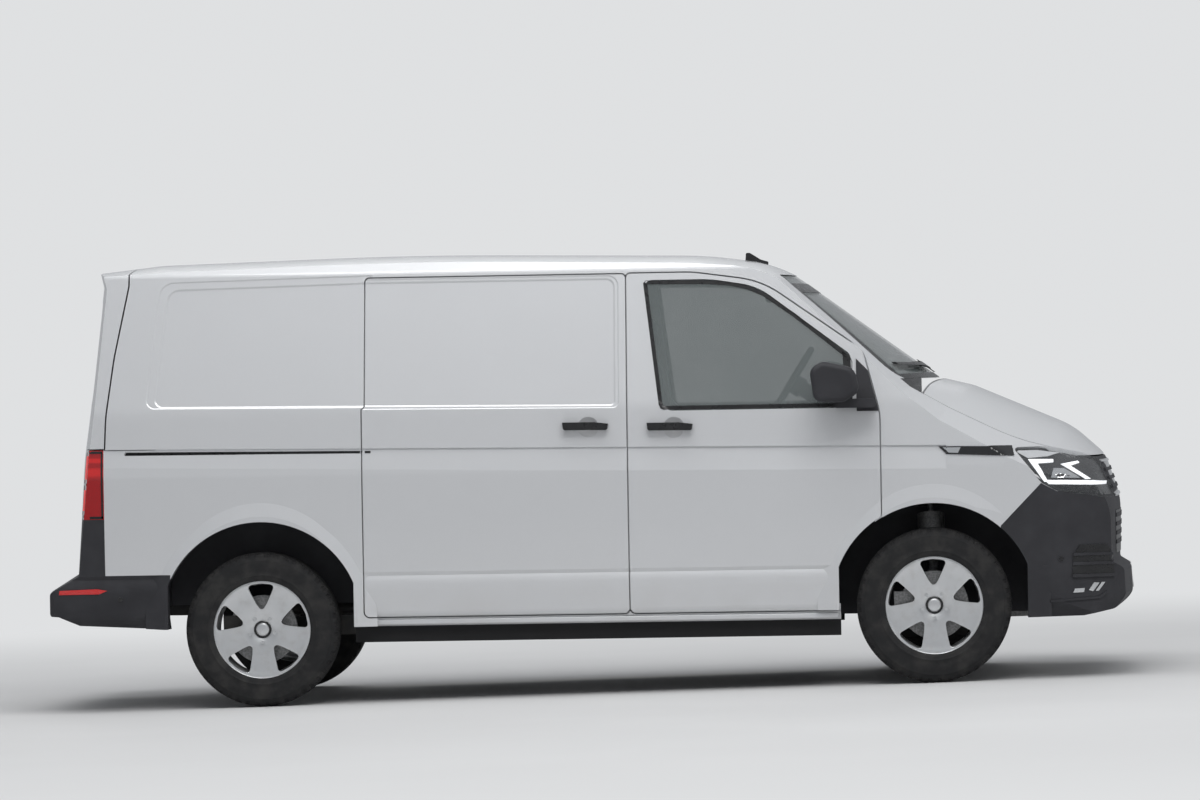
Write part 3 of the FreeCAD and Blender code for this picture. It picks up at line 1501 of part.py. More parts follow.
def front_frame_form():
    """Two rails off the firewall, the strut towers on them and the crash beam."""
    out = number(cell("front_rail_out"))
    width = number(cell("front_rail_width"))
    low = number(cell("front_rail_up"))
    deep = number(cell("front_rail_depth"))
    start = firewall_x + number(cell("sheet_thickness"))
    nose = start + number(cell("front_rail_length"))
    rail = block(start, nose, out, out + width, low, low + deep)
    lean_angle = math.radians(sheet.get("kingpin_lean_degrees"))
    reach = number(cell("strut_length")) + SEAT.value
    foot_y = number(cell("kingpin_low_out"))
    foot_z = number(cell("kingpin_low_up"))
    top_z = foot_z + reach * math.cos(lean_angle)
    top = body_point(FRONT_X.value, foot_y - reach * math.sin(lean_angle), top_z)
    direction = LEVEL.Rotation.multVec(FreeCAD.Vector(0, -math.sin(lean_angle), math.cos(lean_angle)))
    radius = number(cell("tower_radius"))
    thick = number(cell("mount_thickness"))
    mount = Part.makeCylinder(radius - number(cell("tower_clearance")), thick, top, direction)
    rise = number(cell("tower_height"))
    tower = Part.makeCylinder(radius, rise, top + direction * (thick / 2))
    crown = top.z + rise
    plate = block(top.x - radius, top.x + radius, out, top.y, crown - thick, crown)
    web = block(top.x - radius, top.x + radius, out, out + width * WEB_SHARE, low, crown)
    hanger_x = FRONT_X.value - width / 2
    hanger = block(hanger_x, hanger_x + width, out, out + width / 2, number(cross_top), low + deep)
    hanger.Placement = LEVEL
    half = rail.fuse([mount, tower, plate, web, hanger])
    beam_half = number(cell("crash_beam_half_width"))
    beam = block(nose, nose + width, -beam_half, beam_half, low, low + deep)
    return beam.fuse([half, mirrored(half)]).removeSplitter()


piece("front_frame", largest(front_frame_form()))

slab_low = FLOOR_TOP - FLOOR_DEEP
tank_back = REAR_X + cell("tank_ahead")
tank_low = slab_low - cell("tank_depth")
tank = drawn_out("fuel_tank_body", "XZ_Plane", [
    (tank_back, tank_low),
    (tank_back + cell("tank_length"), tank_low),
    (tank_back + cell("tank_length"), slab_low),
    (tank_back, slab_low),
], cell("tank_width"), midplane=True)
rounded(tank, "fuel_tank_edges", cell("tank_round"), along(ACROSS))
tank_middle = FreeCAD.Vector(0, number(cell("tank_out") + cell("tank_width") / 2), 0)
part(tank, "fuel_tank", RAKE.multiply(FreeCAD.Placement(tank_middle, FreeCAD.Rotation())))

pipe = cell("pipe_radius")
muffler = cell("muffler_radius")
line_z = CAB_FLOOR - FLOOR_DEEP - muffler
exhaust_y = -cell("exhaust_out")
hanger_x = REAR_X + cell("muffler_ahead") + cell("muffler_length") / 2
exhaust = fused("exhaust_form", [
    rod("exhaust_pipe", (REAR_X - cell("pipe_behind"), exhaust_y, line_z), pipe, cell("pipe_length"), "X"),
    box("exhaust_hanger", (hanger_x, exhaust_y - pipe, line_z), pipe * 2, pipe * 2, slab_low - line_z),
    rod("exhaust_muffler", (REAR_X + cell("muffler_ahead"), exhaust_y, line_z), muffler,
        cell("muffler_length"), "X"),
])
part(exhaust, "exhaust", RAKE)

spare_low = slab_low - cell("spare_width")
spare_lip = cell("spare_radius") - cell("tyre_shoulder") * 2
dish = cell("rim_seat_radius")
spare = lathed("spare_wheel_body", [
    (ZERO, spare_low + cell("spare_width") / 2),
    (dish, spare_low + cell("spare_width") / 2),
    (dish, spare_low),
    (spare_lip, spare_low),
    (cell("spare_radius"), spare_low + cell("tyre_shoulder") * 2),
    (cell("spare_radius"), slab_low - cell("tyre_shoulder") * 2),
    (spare_lip, slab_low),
    (ZERO, slab_low),
], "XZ_Plane", "V_Axis")
spare_middle = FreeCAD.Vector(number(REAR_X - cell("spare_behind")), 0, 0)
part(spare, "spare_wheel", RAKE.multiply(FreeCAD.Placement(spare_middle, FreeCAD.Rotation())))

# Mirrors, handles, wipers and aerial

SAIL_SHARES = [
    (0.2459, 0.6296),
    (0.2459, 0.7479),
    (0.2635, 0.7034),
    (0.2657, 0.6296),
]
MIRROR_SHARES = [
    (0.208, 0.6518, 0.0202),
    (0.2039, 0.7276, 0.0253),
    (0.2162, 0.7428, 0.0202),
    (0.2447, 0.7276, 0.0303),
    (0.2492, 0.6721, 0.0253),
    (0.2345, 0.6508, 0.0202),
]
MIRROR_FOOT_SHARES = [
    (0.2263, 0.6377, 0.0051),
    (0.2263, 0.6579, 0.0051),
    (0.262, 0.6579, 0.0051),
    (0.2631, 0.6377, 0.0051),
]
HANDLE_SHARES = [
    (-0.0208, 0.0101),
    (-0.02, -0.0071, 0.0051),
    (0.02, -0.0081, 0.0051),
    (0.0208, 0.0061),
    (0.0082, 0.0101, 0.0202),
]
FRONT_HANDLE_SHARE = (0.0763, 0.6013)
SLIDING_HANDLE_SHARE = (-0.0004, 0.6049)


def mirror_form():
    """Sail plate on the door's corner, foot and housing."""
    proud = -number(cell("sail_thickness"))
    skin = side_form(proud).cut(side_outer)
    on_door = prism(side_view(FRONT_DOOR_SHARES), "side", MIDSHIP, FAR, -SHUT.value)
    sail = prism(side_view(SAIL_SHARES), "side", MIDSHIP, FAR).common(skin).common(on_door)
    head_in = number(cell("mirror_inner"))
    head_out = number(cell("mirror_outer"))
    head = prism(side_view(MIRROR_SHARES), "side", head_in, head_out)
    soft = number(cell("mirror_round"))
    faces = [face for face in head.Faces if abs(face.normalAt(0, 0).y) > math.cos(math.radians(1))]
    rims = [edge for face in faces for edge in face.Edges]
    head = head.makeFillet(soft, rims)
    foot = prism(side_view(MIRROR_FOOT_SHARES), "side", MIDSHIP, head_in + soft * 2).cut(side_outer)
    return largest(sail.fuse([head, foot]).removeSplitter())


def handle_form(centre_share):
    """A pull bar standing off the skin on its two ends."""
    corners = [(a + centre_share[0], b + centre_share[1]) + tuple(r) for a, b, *r in HANDLE_SHARES]
    bar = prism(side_view(corners), "side", ROOF_HALF, FAR)
    outer = side_form(-number(cell("handle_stand_off")))
    inner = side_form(-number(cell("handle_gap")))
    middle = centre_share[0] * LENGTH.value
    reach = number(cell("handle_grip_half"))
    grip = block(middle - reach, middle + reach, 0, FAR, 0, HIGH)
    return bar.common(outer).cut(side_outer).cut(grip.common(inner))


mirror = mirror_form()
piece("mirror_left", mirror)
piece("mirror_right", mirrored(mirror))
front_handle = handle_form(FRONT_HANDLE_SHARE)
piece("handle_left", largest(front_handle))
piece("handle_right", mirrored(largest(front_handle)))
piece("sliding_handle", mirrored(largest(handle_form(SLIDING_HANDLE_SHARE))))

AERIAL_SHARES = [
    (0.1425, 0.9601),
    (0.1436, 0.996, 0.003),
    (0.1472, 0.9965, 0.0101),
    (0.1574, 0.9803, 0.0152),
    (0.1644, 0.9752, 0.002),
    (0.1644, 0.9601),
]
half = number(cell("aerial_half_width"))
piece("roof_aerial", largest(prism(side_view(AERIAL_SHARES), "side", -half, half).cut(outer_form)))


# Each wiper seen from the front, as across and up: blade, arm, then pivot.
WIPER_SHARES = [
    [
        [(0.3004, 0.7246), (-0.0315, 0.7377), (-0.0315, 0.7428), (0.3004, 0.7306)],
        [(0.333, 0.7114), (0.3414, 0.7145), (0.1376, 0.7387), (0.1313, 0.7327)],
        [(0.3256, 0.7079), (0.3487, 0.7079), (0.3487, 0.7195), (0.3256, 0.7195)],
    ],
    [
        [(-0.063, 0.7286), (-0.3676, 0.7327), (-0.3676, 0.7387), (-0.063, 0.7347)],
        [(-0.0263, 0.7205), (-0.0179, 0.7236), (-0.2111, 0.7387), (-0.2164, 0.7316)],
        [(-0.0336, 0.7134), (-0.0105, 0.7134), (-0.0105, 0.7276), (-0.0336, 0.7276)],
    ],
]


# Glass nearer than this isn't swept, as a share of the length.
WIPER_FROM_SHARE = 0.2099


def wiper_form(shares):
    """Blade and arm as a band that follows the glass, and a pivot that stands on it."""
    high = length_form(-number(cell("wiper_height")))
    near = length_form(-number(cell("wiper_gap")))
    start = WIPER_FROM_SHARE * LENGTH.value
    blade, arm, pivot = [prism(end_view(corners), "end", start, LENGTH.value) for corners in shares]
    band = blade.fuse(arm).common(high).cut(near)
    foot = pivot.common(high).cut(length_form(0))
    return largest(band.fuse(foot).removeSplitter())


piece("wipers", Part.makeCompound([wiper_form(shares) for shares in WIPER_SHARES]))


def finish():
    """Checks every object, then writes each piece to its own file."""
    doc.recompute()
    broken = [o.Label for o in doc.Objects if "Invalid" in o.State or "Error" in o.State]
    for item in PIECES:
        if item.Shape.isNull() or not item.Shape.isValid():
            broken.append(item.Label)
    if broken:
        raise RuntimeError(f"failed objects: {sorted(set(broken))}")
    os.makedirs("parts", exist_ok=True)
    for item in PIECES:
        item.Shape.exportStep(os.path.join("parts", f"{item.Label}.step"))
        print(f"{item.Label}: {len(item.Shape.Solids)} solids, {item.Shape.Volume / LITRE:.2f} litres")


finish()
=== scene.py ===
# %% [markdown]
# # A short panel van
#
# The van comes as a packed set of real panels, wheels and hinges. This lesson dresses
# it: the frame stays as it is, and each step adds a finish or a modelled piece on top.
# The van looks along +X, its steering wheel is towards +Y, and the ground is at zero.

# %% Load the frame and keep its size
import math

import bpy
from mathutils import Matrix, Vector


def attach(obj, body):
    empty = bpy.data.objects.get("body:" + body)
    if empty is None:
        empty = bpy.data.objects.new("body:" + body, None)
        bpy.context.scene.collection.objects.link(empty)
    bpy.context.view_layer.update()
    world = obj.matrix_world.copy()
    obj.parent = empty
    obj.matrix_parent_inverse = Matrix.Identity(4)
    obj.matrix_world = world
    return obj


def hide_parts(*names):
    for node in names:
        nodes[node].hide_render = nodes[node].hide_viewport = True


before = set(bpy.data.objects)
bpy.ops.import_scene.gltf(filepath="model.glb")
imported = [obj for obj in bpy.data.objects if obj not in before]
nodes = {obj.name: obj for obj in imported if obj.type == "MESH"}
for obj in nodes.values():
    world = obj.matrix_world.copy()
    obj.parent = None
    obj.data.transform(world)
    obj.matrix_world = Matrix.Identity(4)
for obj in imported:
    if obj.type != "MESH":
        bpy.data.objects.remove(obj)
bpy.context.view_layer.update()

# %% [markdown]
# The picture was taken with a long lens from about thirty metres, nearly square to the
# side of the van, and rolled by two degrees. Its place and turn were fitted to the
# wheels, the flank and three assumed sizes. The camera comes first, since every later
# choice is judged through it.

# %% The photograph's camera
SPOT = Vector((1.4567, -30.563, 1.4691))
YAW, PITCH, ROLL = 0.04598, -0.00526, -0.03813

ahead = Vector((-math.sin(YAW) * math.cos(PITCH), math.cos(YAW) * math.cos(PITCH), math.sin(PITCH)))
right = Vector((math.cos(YAW), math.sin(YAW), 0))
up = right.cross(ahead)
right_rolled = right * math.cos(ROLL) + up * math.sin(ROLL)
up_rolled = up * math.cos(ROLL) - right * math.sin(ROLL)
bpy.ops.object.camera_add(location=SPOT)
camera = bpy.context.object
camera.name = "long_lens"
turn = Matrix((right_rolled, up_rolled, -ahead)).transposed()
camera.rotation_euler = turn.to_euler()
camera.data.lens = 200
camera.data.sensor_width = 36
camera.data.clip_end = 400
bpy.context.scene.camera = camera
print("camera at", tuple(round(v, 2) for v in camera.location))

# %% [markdown]
# Modelling with operators goes wrong when something else is still selected. These few
# helpers select one piece, draw its outline point by point, and put it where it
# belongs. The parked van leans nose down by a little over one degree, so body pieces
# are drawn level, in millimetres, and are then turned by that rake.

# %% Helpers for modelling by hand
LEAN = math.radians(1.2)
RAKE = Matrix.Rotation(LEAN, 4, "Y")
MM = 0.001
# Vertices nearer than this, in metres, become one.
MERGE = 0.00005


def pick_only(piece):
    bpy.ops.object.select_all(action="DESELECT")
    piece.select_set(True)
    bpy.context.view_layer.objects.active = piece


def line_of(name, points):
    """A chain of edges through points in millimetres, made by extruding one vertex."""
    bpy.ops.object.select_all(action="DESELECT")
    bpy.ops.mesh.primitive_plane_add(size=1, location=(0, 0, 0))
    piece = bpy.context.object
    piece.name = name
    bpy.ops.object.mode_set(mode="EDIT")
    bpy.ops.mesh.select_mode(type="VERT")
    bpy.ops.mesh.select_all(action="SELECT")
    bpy.ops.mesh.merge(type="CENTER")
    places = [Vector(p) * MM for p in points]
    bpy.ops.transform.translate(value=places[0])
    for before, after in zip(places, places[1:]):
        bpy.ops.mesh.extrude_region_move(TRANSFORM_OT_translate={"value": after - before})
    return piece


def plate_of(name, points, push):
    """A closed outline in millimetres, filled and pushed out by a vector."""
    piece = line_of(name, points)
    bpy.ops.mesh.select_all(action="SELECT")
    bpy.ops.mesh.edge_face_add()
    bpy.ops.mesh.extrude_region_move(TRANSFORM_OT_translate={"value": Vector(push) * MM})
    bpy.ops.mesh.select_all(action="SELECT")
    bpy.ops.mesh.normals_make_consistent(inside=False)
    bpy.ops.object.mode_set(mode="OBJECT")
    return piece


def turned_of(name, points, centre, axis, steps):
    """An outline spun once round an axis, in millimetres."""
    piece = line_of(name, points)
    bpy.ops.mesh.select_all(action="SELECT")
    bpy.ops.mesh.spin(steps=steps, angle=math.tau, center=Vector(centre) * MM, axis=axis)
    bpy.ops.mesh.select_all(action="SELECT")
    bpy.ops.mesh.remove_doubles(threshold=MERGE)
    bpy.ops.mesh.normals_make_consistent(inside=False)
    bpy.ops.object.mode_set(mode="OBJECT")
    return piece


def block_of(name, low, high):
    """A box between two corners in millimetres."""
    low, high = Vector(low) * MM, Vector(high) * MM
    bpy.ops.object.select_all(action="DESELECT")
    bpy.ops.mesh.primitive_cube_add(size=1, location=(low + high) / 2)
    piece = bpy.context.object
    piece.name = name
    piece.scale = high - low
    bpy.ops.object.transform_apply(location=True, rotation=True, scale=True)
    return piece


def apply(piece, kind, **settings):
    """Adds a modifier, sets it and applies it."""
    pick_only(piece)
    modifier = piece.modifiers.new(kind.lower(), kind)
    for name, value in settings.items():
        setattr(modifier, name, value)
    bpy.ops.object.modifier_apply(modifier=modifier.name)


def soften(piece, width, angle=30, segments=2):
    """Rounds the hard edges, width in millimetres, and smooths the shading."""
    apply(piece, "BEVEL", width=width * MM, segments=segments, limit_method="ANGLE",
          angle_limit=math.radians(angle))
    pick_only(piece)
    bpy.ops.object.shade_smooth_by_angle(angle=math.radians(40))
    return piece


def rake(piece):
    piece.data.transform(RAKE)
    return piece


def mirror_of(piece, name):
    """A twin across the middle of the van, with its own mesh and faces outwards."""
    twin = piece.copy()
    twin.data = piece.data.copy()
    twin.name = name
    bpy.context.collection.objects.link(twin)
    twin.data.transform(Matrix.Scale(-1, 4, (0, 1, 0)))
    twin.data.flip_normals()
    return twin


def joined_of(name, pieces):
    """Several pieces as one."""
    bpy.ops.object.select_all(action="DESELECT")
    for piece in pieces:
        piece.select_set(True)
    bpy.context.view_layer.objects.active = pieces[0]
    bpy.ops.object.join()
    pieces[0].name = name
    return pieces[0]


def fit(piece, body, finish, slot, *replaced):
    """Gives a finished piece its material and lets it ride on a body; slot is not used."""
    piece.data.materials.clear()
    piece.data.materials.append(finish)
    if replaced:
        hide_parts(*replaced)
    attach(piece, body)


# %% [markdown]
# A strip, a window frame or a lamp bar must lie on the panel behind it. One copy of
# all the outer panels, with its loose triangles merged, serves as the surface that
# such pieces are pressed against. It is thrown away at the end.

# %% One skin to lay pieces on
# Vertices of neighbouring panels nearer than this, in metres, become one.
SKIN_MERGE = 0.0001
SKIN_NODES = [
    "side_left", "side_right", "door_left", "door_right", "sliding_door", "fender_left", "fender_right",
    "front_bumper", "rear_bumper", "grille", "headlamps", "tail_lamps", "tailgate", "bonnet", "cowl", "roof",
    "windscreen", "rear_window", "window_left", "window_right",
]
bpy.ops.object.select_all(action="DESELECT")
for name in SKIN_NODES:
    copy = nodes[name].copy()
    copy.data = nodes[name].data.copy()
    copy.parent = None
    bpy.context.collection.objects.link(copy)
    copy.select_set(True)
    bpy.context.view_layer.objects.active = copy
bpy.ops.object.join()
skin = bpy.context.object
skin.name = "skin_to_lay_on"
for key in list(skin.keys()):
    del skin[key]
bpy.ops.object.mode_set(mode="EDIT")
bpy.ops.mesh.select_all(action="SELECT")
bpy.ops.mesh.remove_doubles(threshold=SKIN_MERGE)
bpy.ops.object.mode_set(mode="OBJECT")
skin.data.materials.clear()
print("skin faces", len(skin.data.polygons))


# A pressed vertex that travelled less than this, in millimetres, met no surface.
LEAST_TRAVEL = 20


def lay(piece, axis, gap, target=None):
    """Presses a flat piece onto a surface along one axis; what finds no surface is cut away."""
    before = [vertex.co.copy() for vertex in piece.data.vertices]
    apply(piece, "SHRINKWRAP", target=target or skin, wrap_method="PROJECT",
          use_project_x=axis == "X", use_project_y=axis == "Y", use_project_z=axis == "Z",
          use_negative_direction=True, use_positive_direction=True, wrap_mode="ABOVE_SURFACE",
          offset=gap * MM)
    pick_only(piece)
    bpy.ops.object.mode_set(mode="EDIT")
    bpy.ops.mesh.select_mode(type="VERT")
    bpy.ops.mesh.select_all(action="DESELECT")
    bpy.ops.object.mode_set(mode="OBJECT")
    way_back = Vector()
    for vertex, old in zip(piece.data.vertices, before):
        vertex.select = (vertex.co - old).length < LEAST_TRAVEL * MM
        way_back += old - vertex.co
    facing = sum(face.normal.dot(way_back) for face in piece.data.polygons)
    bpy.ops.object.mode_set(mode="EDIT")
    bpy.ops.mesh.delete(type="VERT")
    if facing < 0:
        bpy.ops.mesh.select_all(action="SELECT")
        bpy.ops.mesh.flip_normals()
    bpy.ops.object.mode_set(mode="OBJECT")
    return piece


def thicken(piece, thick):
    """Gives a pressed piece its thickness, outwards, and smooths its shading."""
    apply(piece, "SOLIDIFY", thickness=thick * MM, offset=1)
    pick_only(piece)
    bpy.ops.object.mode_set(mode="EDIT")
    bpy.ops.mesh.select_all(action="SELECT")
    bpy.ops.mesh.normals_make_consistent(inside=False)
    bpy.ops.object.mode_set(mode="OBJECT")
    bpy.ops.object.shade_smooth_by_angle(angle=math.radians(35))
    return piece

# %% [markdown]
# A finish is a small tree of nodes. Written as sums, it stays readable: a wire stands
# for one output, and adding or multiplying wires adds the Math nodes behind them.

# %% Wires and finishes
class Wire:
    """One output socket of a finish, ready for sums."""

    def __init__(self, finish, socket):
        self.finish = finish
        self.socket = socket

    def math(self, operation, *others):
        return self.finish.node("ShaderNodeMath", {"operation": operation}, dict(enumerate((self, *others))))

    def __add__(self, other):
        return self.math("ADD", other)

    __radd__ = __add__

    def __sub__(self, other):
        return self.math("SUBTRACT", other)

    def __rsub__(self, other):
        return self.math("MULTIPLY_ADD", -1, other)

    def __mul__(self, other):
        return self.math("MULTIPLY", other)

    __rmul__ = __mul__

    def ramp(self, low, high):
        """Zero below low, one above high, smooth between."""
        return self.finish.node("ShaderNodeMapRange", {"interpolation_type": "SMOOTHSTEP"},
                                {"Value": self, "From Min": low, "From Max": high})


class Finish:
    """A material under construction, with one Principled shader."""

    def __init__(self, name, **settings):
        self.material = bpy.data.materials.new(name)
        self.material.use_nodes = True
        self.tree = self.material.node_tree
        self.shader = self.tree.nodes["Principled BSDF"]
        for key, value in settings.items():
            self.set(key.replace("_", " "), value)

    def set(self, name, value):
        """A number on the shader's own socket, or a wire into it."""
        socket = self.shader.inputs[name]
        if isinstance(value, Wire):
            self.tree.links.new(value.socket, socket)
        else:
            socket.default_value = value

    def node(self, kind, settings, values, output=0):
        made = self.tree.nodes.new(kind)
        for key, value in settings.items():
            setattr(made, key, value)
        for key, value in values.items():
            socket = made.inputs[key]
            if isinstance(value, Wire):
                self.tree.links.new(value.socket, socket)
            else:
                socket.default_value = value
        return Wire(self, made.outputs[output])

    def place(self):
        """Object coordinates, in metres of the van's own frame."""
        return self.node("ShaderNodeTexCoord", {}, {}, "Object")

    def axis(self, letter):
        return self.node("ShaderNodeSeparateXYZ", {}, {0: self.place()}, letter)

    def noise(self, scale, detail=3.0):
        return self.node("ShaderNodeTexNoise", {}, {"Vector": self.place(), "Scale": scale, "Detail": detail})

    def cells(self, scale):
        return self.node("ShaderNodeTexVoronoi", {}, {"Vector": self.place(), "Scale": scale})

    def blend(self, mask, first, second):
        """One colour where the mask is 0, the other where it is 1."""
        first, second = (value if isinstance(value, Wire) else (*value, 1) for value in (first, second))
        return self.node("ShaderNodeMix", {"data_type": "RGBA"}, {0: mask, 6: first, 7: second}, 2)

    def tint(self, mask, first, second, name="Base Color"):
        """Sets a colour of the shader by a mask."""
        self.set(name, self.blend(mask, first, second))

    def bump(self, height, strength, distance=0.001):
        values = {"Height": height, "Strength": strength, "Distance": distance}
        self.set("Normal", self.node("ShaderNodeBump", {}, values))


# %% [markdown]
# The van is painted a light metallic silver. Real silver paint is a coloured coat full
# of tiny flakes under clear lacquer. Fine cells vary the colour a little from flake to
# flake, a metallic share makes it darken at the edges, and a coat adds the hard gloss.
# Dust gathers low on the flanks, so a faint warm veil fades in towards the sills,
# and under the sills the body is sealed with black.

# %% Silver paint
paint = Finish("silver_paint", Metallic=0.25, Roughness=0.36, Coat_Weight=0.9, Coat_Roughness=0.06)
flake = paint.cells(1400)
dust = 1 - paint.axis("Z").ramp(0.26, 0.62)
flakes = paint.blend(flake.ramp(0.1, 0.9), (0.615, 0.622, 0.635), (0.665, 0.672, 0.685))
soiled = paint.blend(dust * paint.noise(6).ramp(0.3, 0.8) * 0.16, flakes, (0.45, 0.42, 0.38))
up_the_body = paint.axis("Z") * math.cos(LEAN) + paint.axis("X") * math.sin(LEAN)
underseal = 1 - up_the_body.ramp(0.320, 0.324)
paint.tint(underseal, soiled, (0.014, 0.014, 0.015))
paint.set("Coat Weight", 0.9 - underseal * 0.9)
paint.set("Roughness", 0.33 + dust * 0.12 + paint.noise(9).ramp(0.4, 0.9) * 0.04 + underseal * 0.4)
paint.bump(paint.noise(1.1, 1) * 0.5 + paint.noise(260, 2) * 0.02, 0.02)

# %% [markdown]
# Bumpers, grille, mirrors and arch liners are moulded in grained black plastic. Under a
# lens the grain is a pattern of small pebbles, and its colour drifts slowly between two
# dark greys. The smoother plastics and the tyre rubber differ in gloss.

# %% Grained plastic, smooth plastic and rubber
grain = Finish("grained_plastic", Roughness=0.62, Specular_IOR_Level=0.45)
pebble = grain.cells(620)
grain.tint(grain.noise(7).ramp(0.35, 0.75), (0.020, 0.020, 0.024), (0.031, 0.031, 0.036))
grain.set("Roughness", 0.56 + pebble * 0.16)
grain.bump(pebble.ramp(0.0, 0.7), 0.25, 0.0006)

black = Finish("black_plastic", Roughness=0.3, Specular_IOR_Level=0.5)
black.tint(black.noise(14).ramp(0.3, 0.8), (0.010, 0.010, 0.011), (0.017, 0.017, 0.018))
black.set("Roughness", 0.26 + black.noise(40).ramp(0.3, 0.8) * 0.12)
black.bump(black.noise(500, 2), 0.03)

piano = Finish("gloss_black", Roughness=0.08, Coat_Weight=0.6, Coat_Roughness=0.03)
piano.tint(piano.noise(11).ramp(0.3, 0.8), (0.006, 0.006, 0.007), (0.011, 0.011, 0.012))
piano.set("Roughness", 0.07 + piano.noise(50).ramp(0.4, 0.9) * 0.05)

lamp_black = Finish("lamp_bowl_black", Roughness=0.3, Specular_IOR_Level=0.12)
lamp_black.tint(lamp_black.noise(20).ramp(0.3, 0.8), (0.003, 0.003, 0.004), (0.008, 0.008, 0.009))
lamp_black.set("Roughness", 0.24 + lamp_black.noise(60).ramp(0.3, 0.8) * 0.12)

tread_rubber = Finish("tyre_rubber", Roughness=0.82, Specular_IOR_Level=0.3)
wheel_dust = tread_rubber.noise(18, 5)
tread_rubber.tint(wheel_dust.ramp(0.35, 0.8), (0.016, 0.016, 0.017), (0.036, 0.035, 0.034))
tread_rubber.set("Roughness", 0.74 + wheel_dust * 0.16)
tread_rubber.bump(tread_rubber.noise(420, 3), 0.18)

# %% [markdown]
# Metals differ mostly in how rough they are. The cast wheels are lacquered and carry a
# little brake dust in patches; chrome is a clean mirror; chassis parts are painted dark
# and pick up dirt, so their colour is patchy. The bare sheets inside the body are
# primed pale grey, and black lower down, where they show under the van.

# %% Metals, chassis paint and primer
alloy = Finish("wheel_alloy", Metallic=0.85, Roughness=0.28, Coat_Weight=0.35, Coat_Roughness=0.1)
brake_dust = alloy.noise(26, 4).ramp(0.4, 0.85)
alloy.tint(brake_dust * 0.5, (0.66, 0.67, 0.68), (0.52, 0.51, 0.50))
alloy.set("Roughness", 0.3 + brake_dust * 0.12)
alloy.bump(alloy.noise(90, 1), 0.01)

chrome = Finish("chrome", Metallic=1.0, Roughness=0.06)
chrome.tint(chrome.noise(20).ramp(0.3, 0.8), (0.78, 0.79, 0.80), (0.84, 0.85, 0.86))
chrome.set("Roughness", 0.05 + chrome.noise(60).ramp(0.4, 0.9) * 0.06)

chassis = Finish("chassis_paint", Metallic=0.3, Roughness=0.55)
grime = chassis.noise(8, 6).ramp(0.35, 0.75)
chassis.tint(grime, (0.022, 0.022, 0.023), (0.075, 0.068, 0.060))
chassis.set("Roughness", 0.45 + grime * 0.35)
chassis.bump(grime + chassis.noise(180, 3) * 0.5, 0.12)

casting = Finish("cast_metal", Metallic=0.8, Roughness=0.5)
pits = casting.noise(120, 4)
casting.tint(pits.ramp(0.3, 0.75), (0.20, 0.20, 0.20), (0.36, 0.36, 0.36))
casting.set("Roughness", 0.42 + pits * 0.25)
casting.bump(pits, 0.2)

primer = Finish("body_primer", Roughness=0.45)
clean_sheet = primer.blend(primer.noise(5).ramp(0.3, 0.8), (0.50, 0.51, 0.52), (0.57, 0.58, 0.59))
above_floor = primer.axis("Z").ramp(0.50, 0.53)
primer.tint(above_floor, (0.018, 0.018, 0.019), clean_sheet)
primer.set("Roughness", 0.4 + primer.noise(30).ramp(0.4, 0.9) * 0.12)
primer.bump(primer.noise(200, 2), 0.05)

# %% [markdown]
# Glass is thin here, so it needs no bending of light: a clear, very smooth surface with
# partial alpha shows the cab behind it and reflections on it. The side panes and the
# windscreen get a mid-grey base colour, which is partly tint and partly a painted
# reflection. The rear window is nearly black, the headlamp covers are clearer, and the
# tail lamp is deep red with a fine vertical ribbing. The light bars glow a little by
# themselves.

# %% Glass and lenses
glass = Finish("tinted_glass", Roughness=0.02, IOR=1.5, Specular_IOR_Level=0.5)
# Mid-grey base colour: part tint, part painted reflection on the panes.
glass.tint(glass.noise(2).ramp(0.3, 0.8), (0.20, 0.225, 0.225), (0.23, 0.255, 0.255))
glass.set("Alpha", 0.48 + glass.noise(3).ramp(0.3, 0.8) * 0.05)

dark_glass = Finish("dark_glass", Roughness=0.02, IOR=1.5)
dark_glass.tint(dark_glass.noise(2).ramp(0.3, 0.8), (0.02, 0.022, 0.024), (0.03, 0.032, 0.034))
dark_glass.set("Alpha", 0.8 + dark_glass.noise(3).ramp(0.3, 0.8) * 0.05)

lens = Finish("lamp_lens", Roughness=0.03, IOR=1.5, Coat_Weight=0.5, Coat_Roughness=0.02)
lens.tint(lens.noise(3).ramp(0.3, 0.8), (0.55, 0.57, 0.59), (0.62, 0.64, 0.66))
lens.set("Alpha", 0.1 + lens.noise(4).ramp(0.3, 0.8) * 0.04)

red_lens = Finish("red_lens", Roughness=0.12, Coat_Weight=0.7, Coat_Roughness=0.03)
rib = (red_lens.axis("Y") * 900).math("SINE")
red_lens.tint(rib.ramp(-0.6, 0.9), (0.34, 0.004, 0.006), (0.62, 0.012, 0.012))
red_lens.set("Roughness", 0.1 + red_lens.noise(30).ramp(0.4, 0.9) * 0.06)
red_lens.bump(rib, 0.12)

lit_red = Finish("lit_red_bar", Roughness=0.3, Emission_Strength=0.35)
lit_red.tint(lit_red.noise(40).ramp(0.3, 0.8), (0.75, 0.02, 0.02), (0.85, 0.05, 0.04))
lit_red.tint(lit_red.noise(40).ramp(0.3, 0.8), (0.8, 0.02, 0.02), (1.0, 0.06, 0.05), "Emission Color")

white_bar = Finish("white_light_bar", Roughness=0.25, Emission_Strength=0.6)
white_bar.tint(white_bar.noise(40).ramp(0.3, 0.8), (0.82, 0.83, 0.85), (0.9, 0.91, 0.92))
white_bar.tint(white_bar.noise(40).ramp(0.3, 0.8), (0.85, 0.88, 0.92), (1.0, 1.0, 1.0), "Emission Color")

# %% [markdown]
# The seats are covered in woven cloth. Two crossed waves make the weave; a slow noise
# changes the shade where the pile has been rubbed. The dashboard is leathery moulded
# plastic, so its bump is a mesh of small irregular cells. The blank plate at the front
# has a plain pale coat.

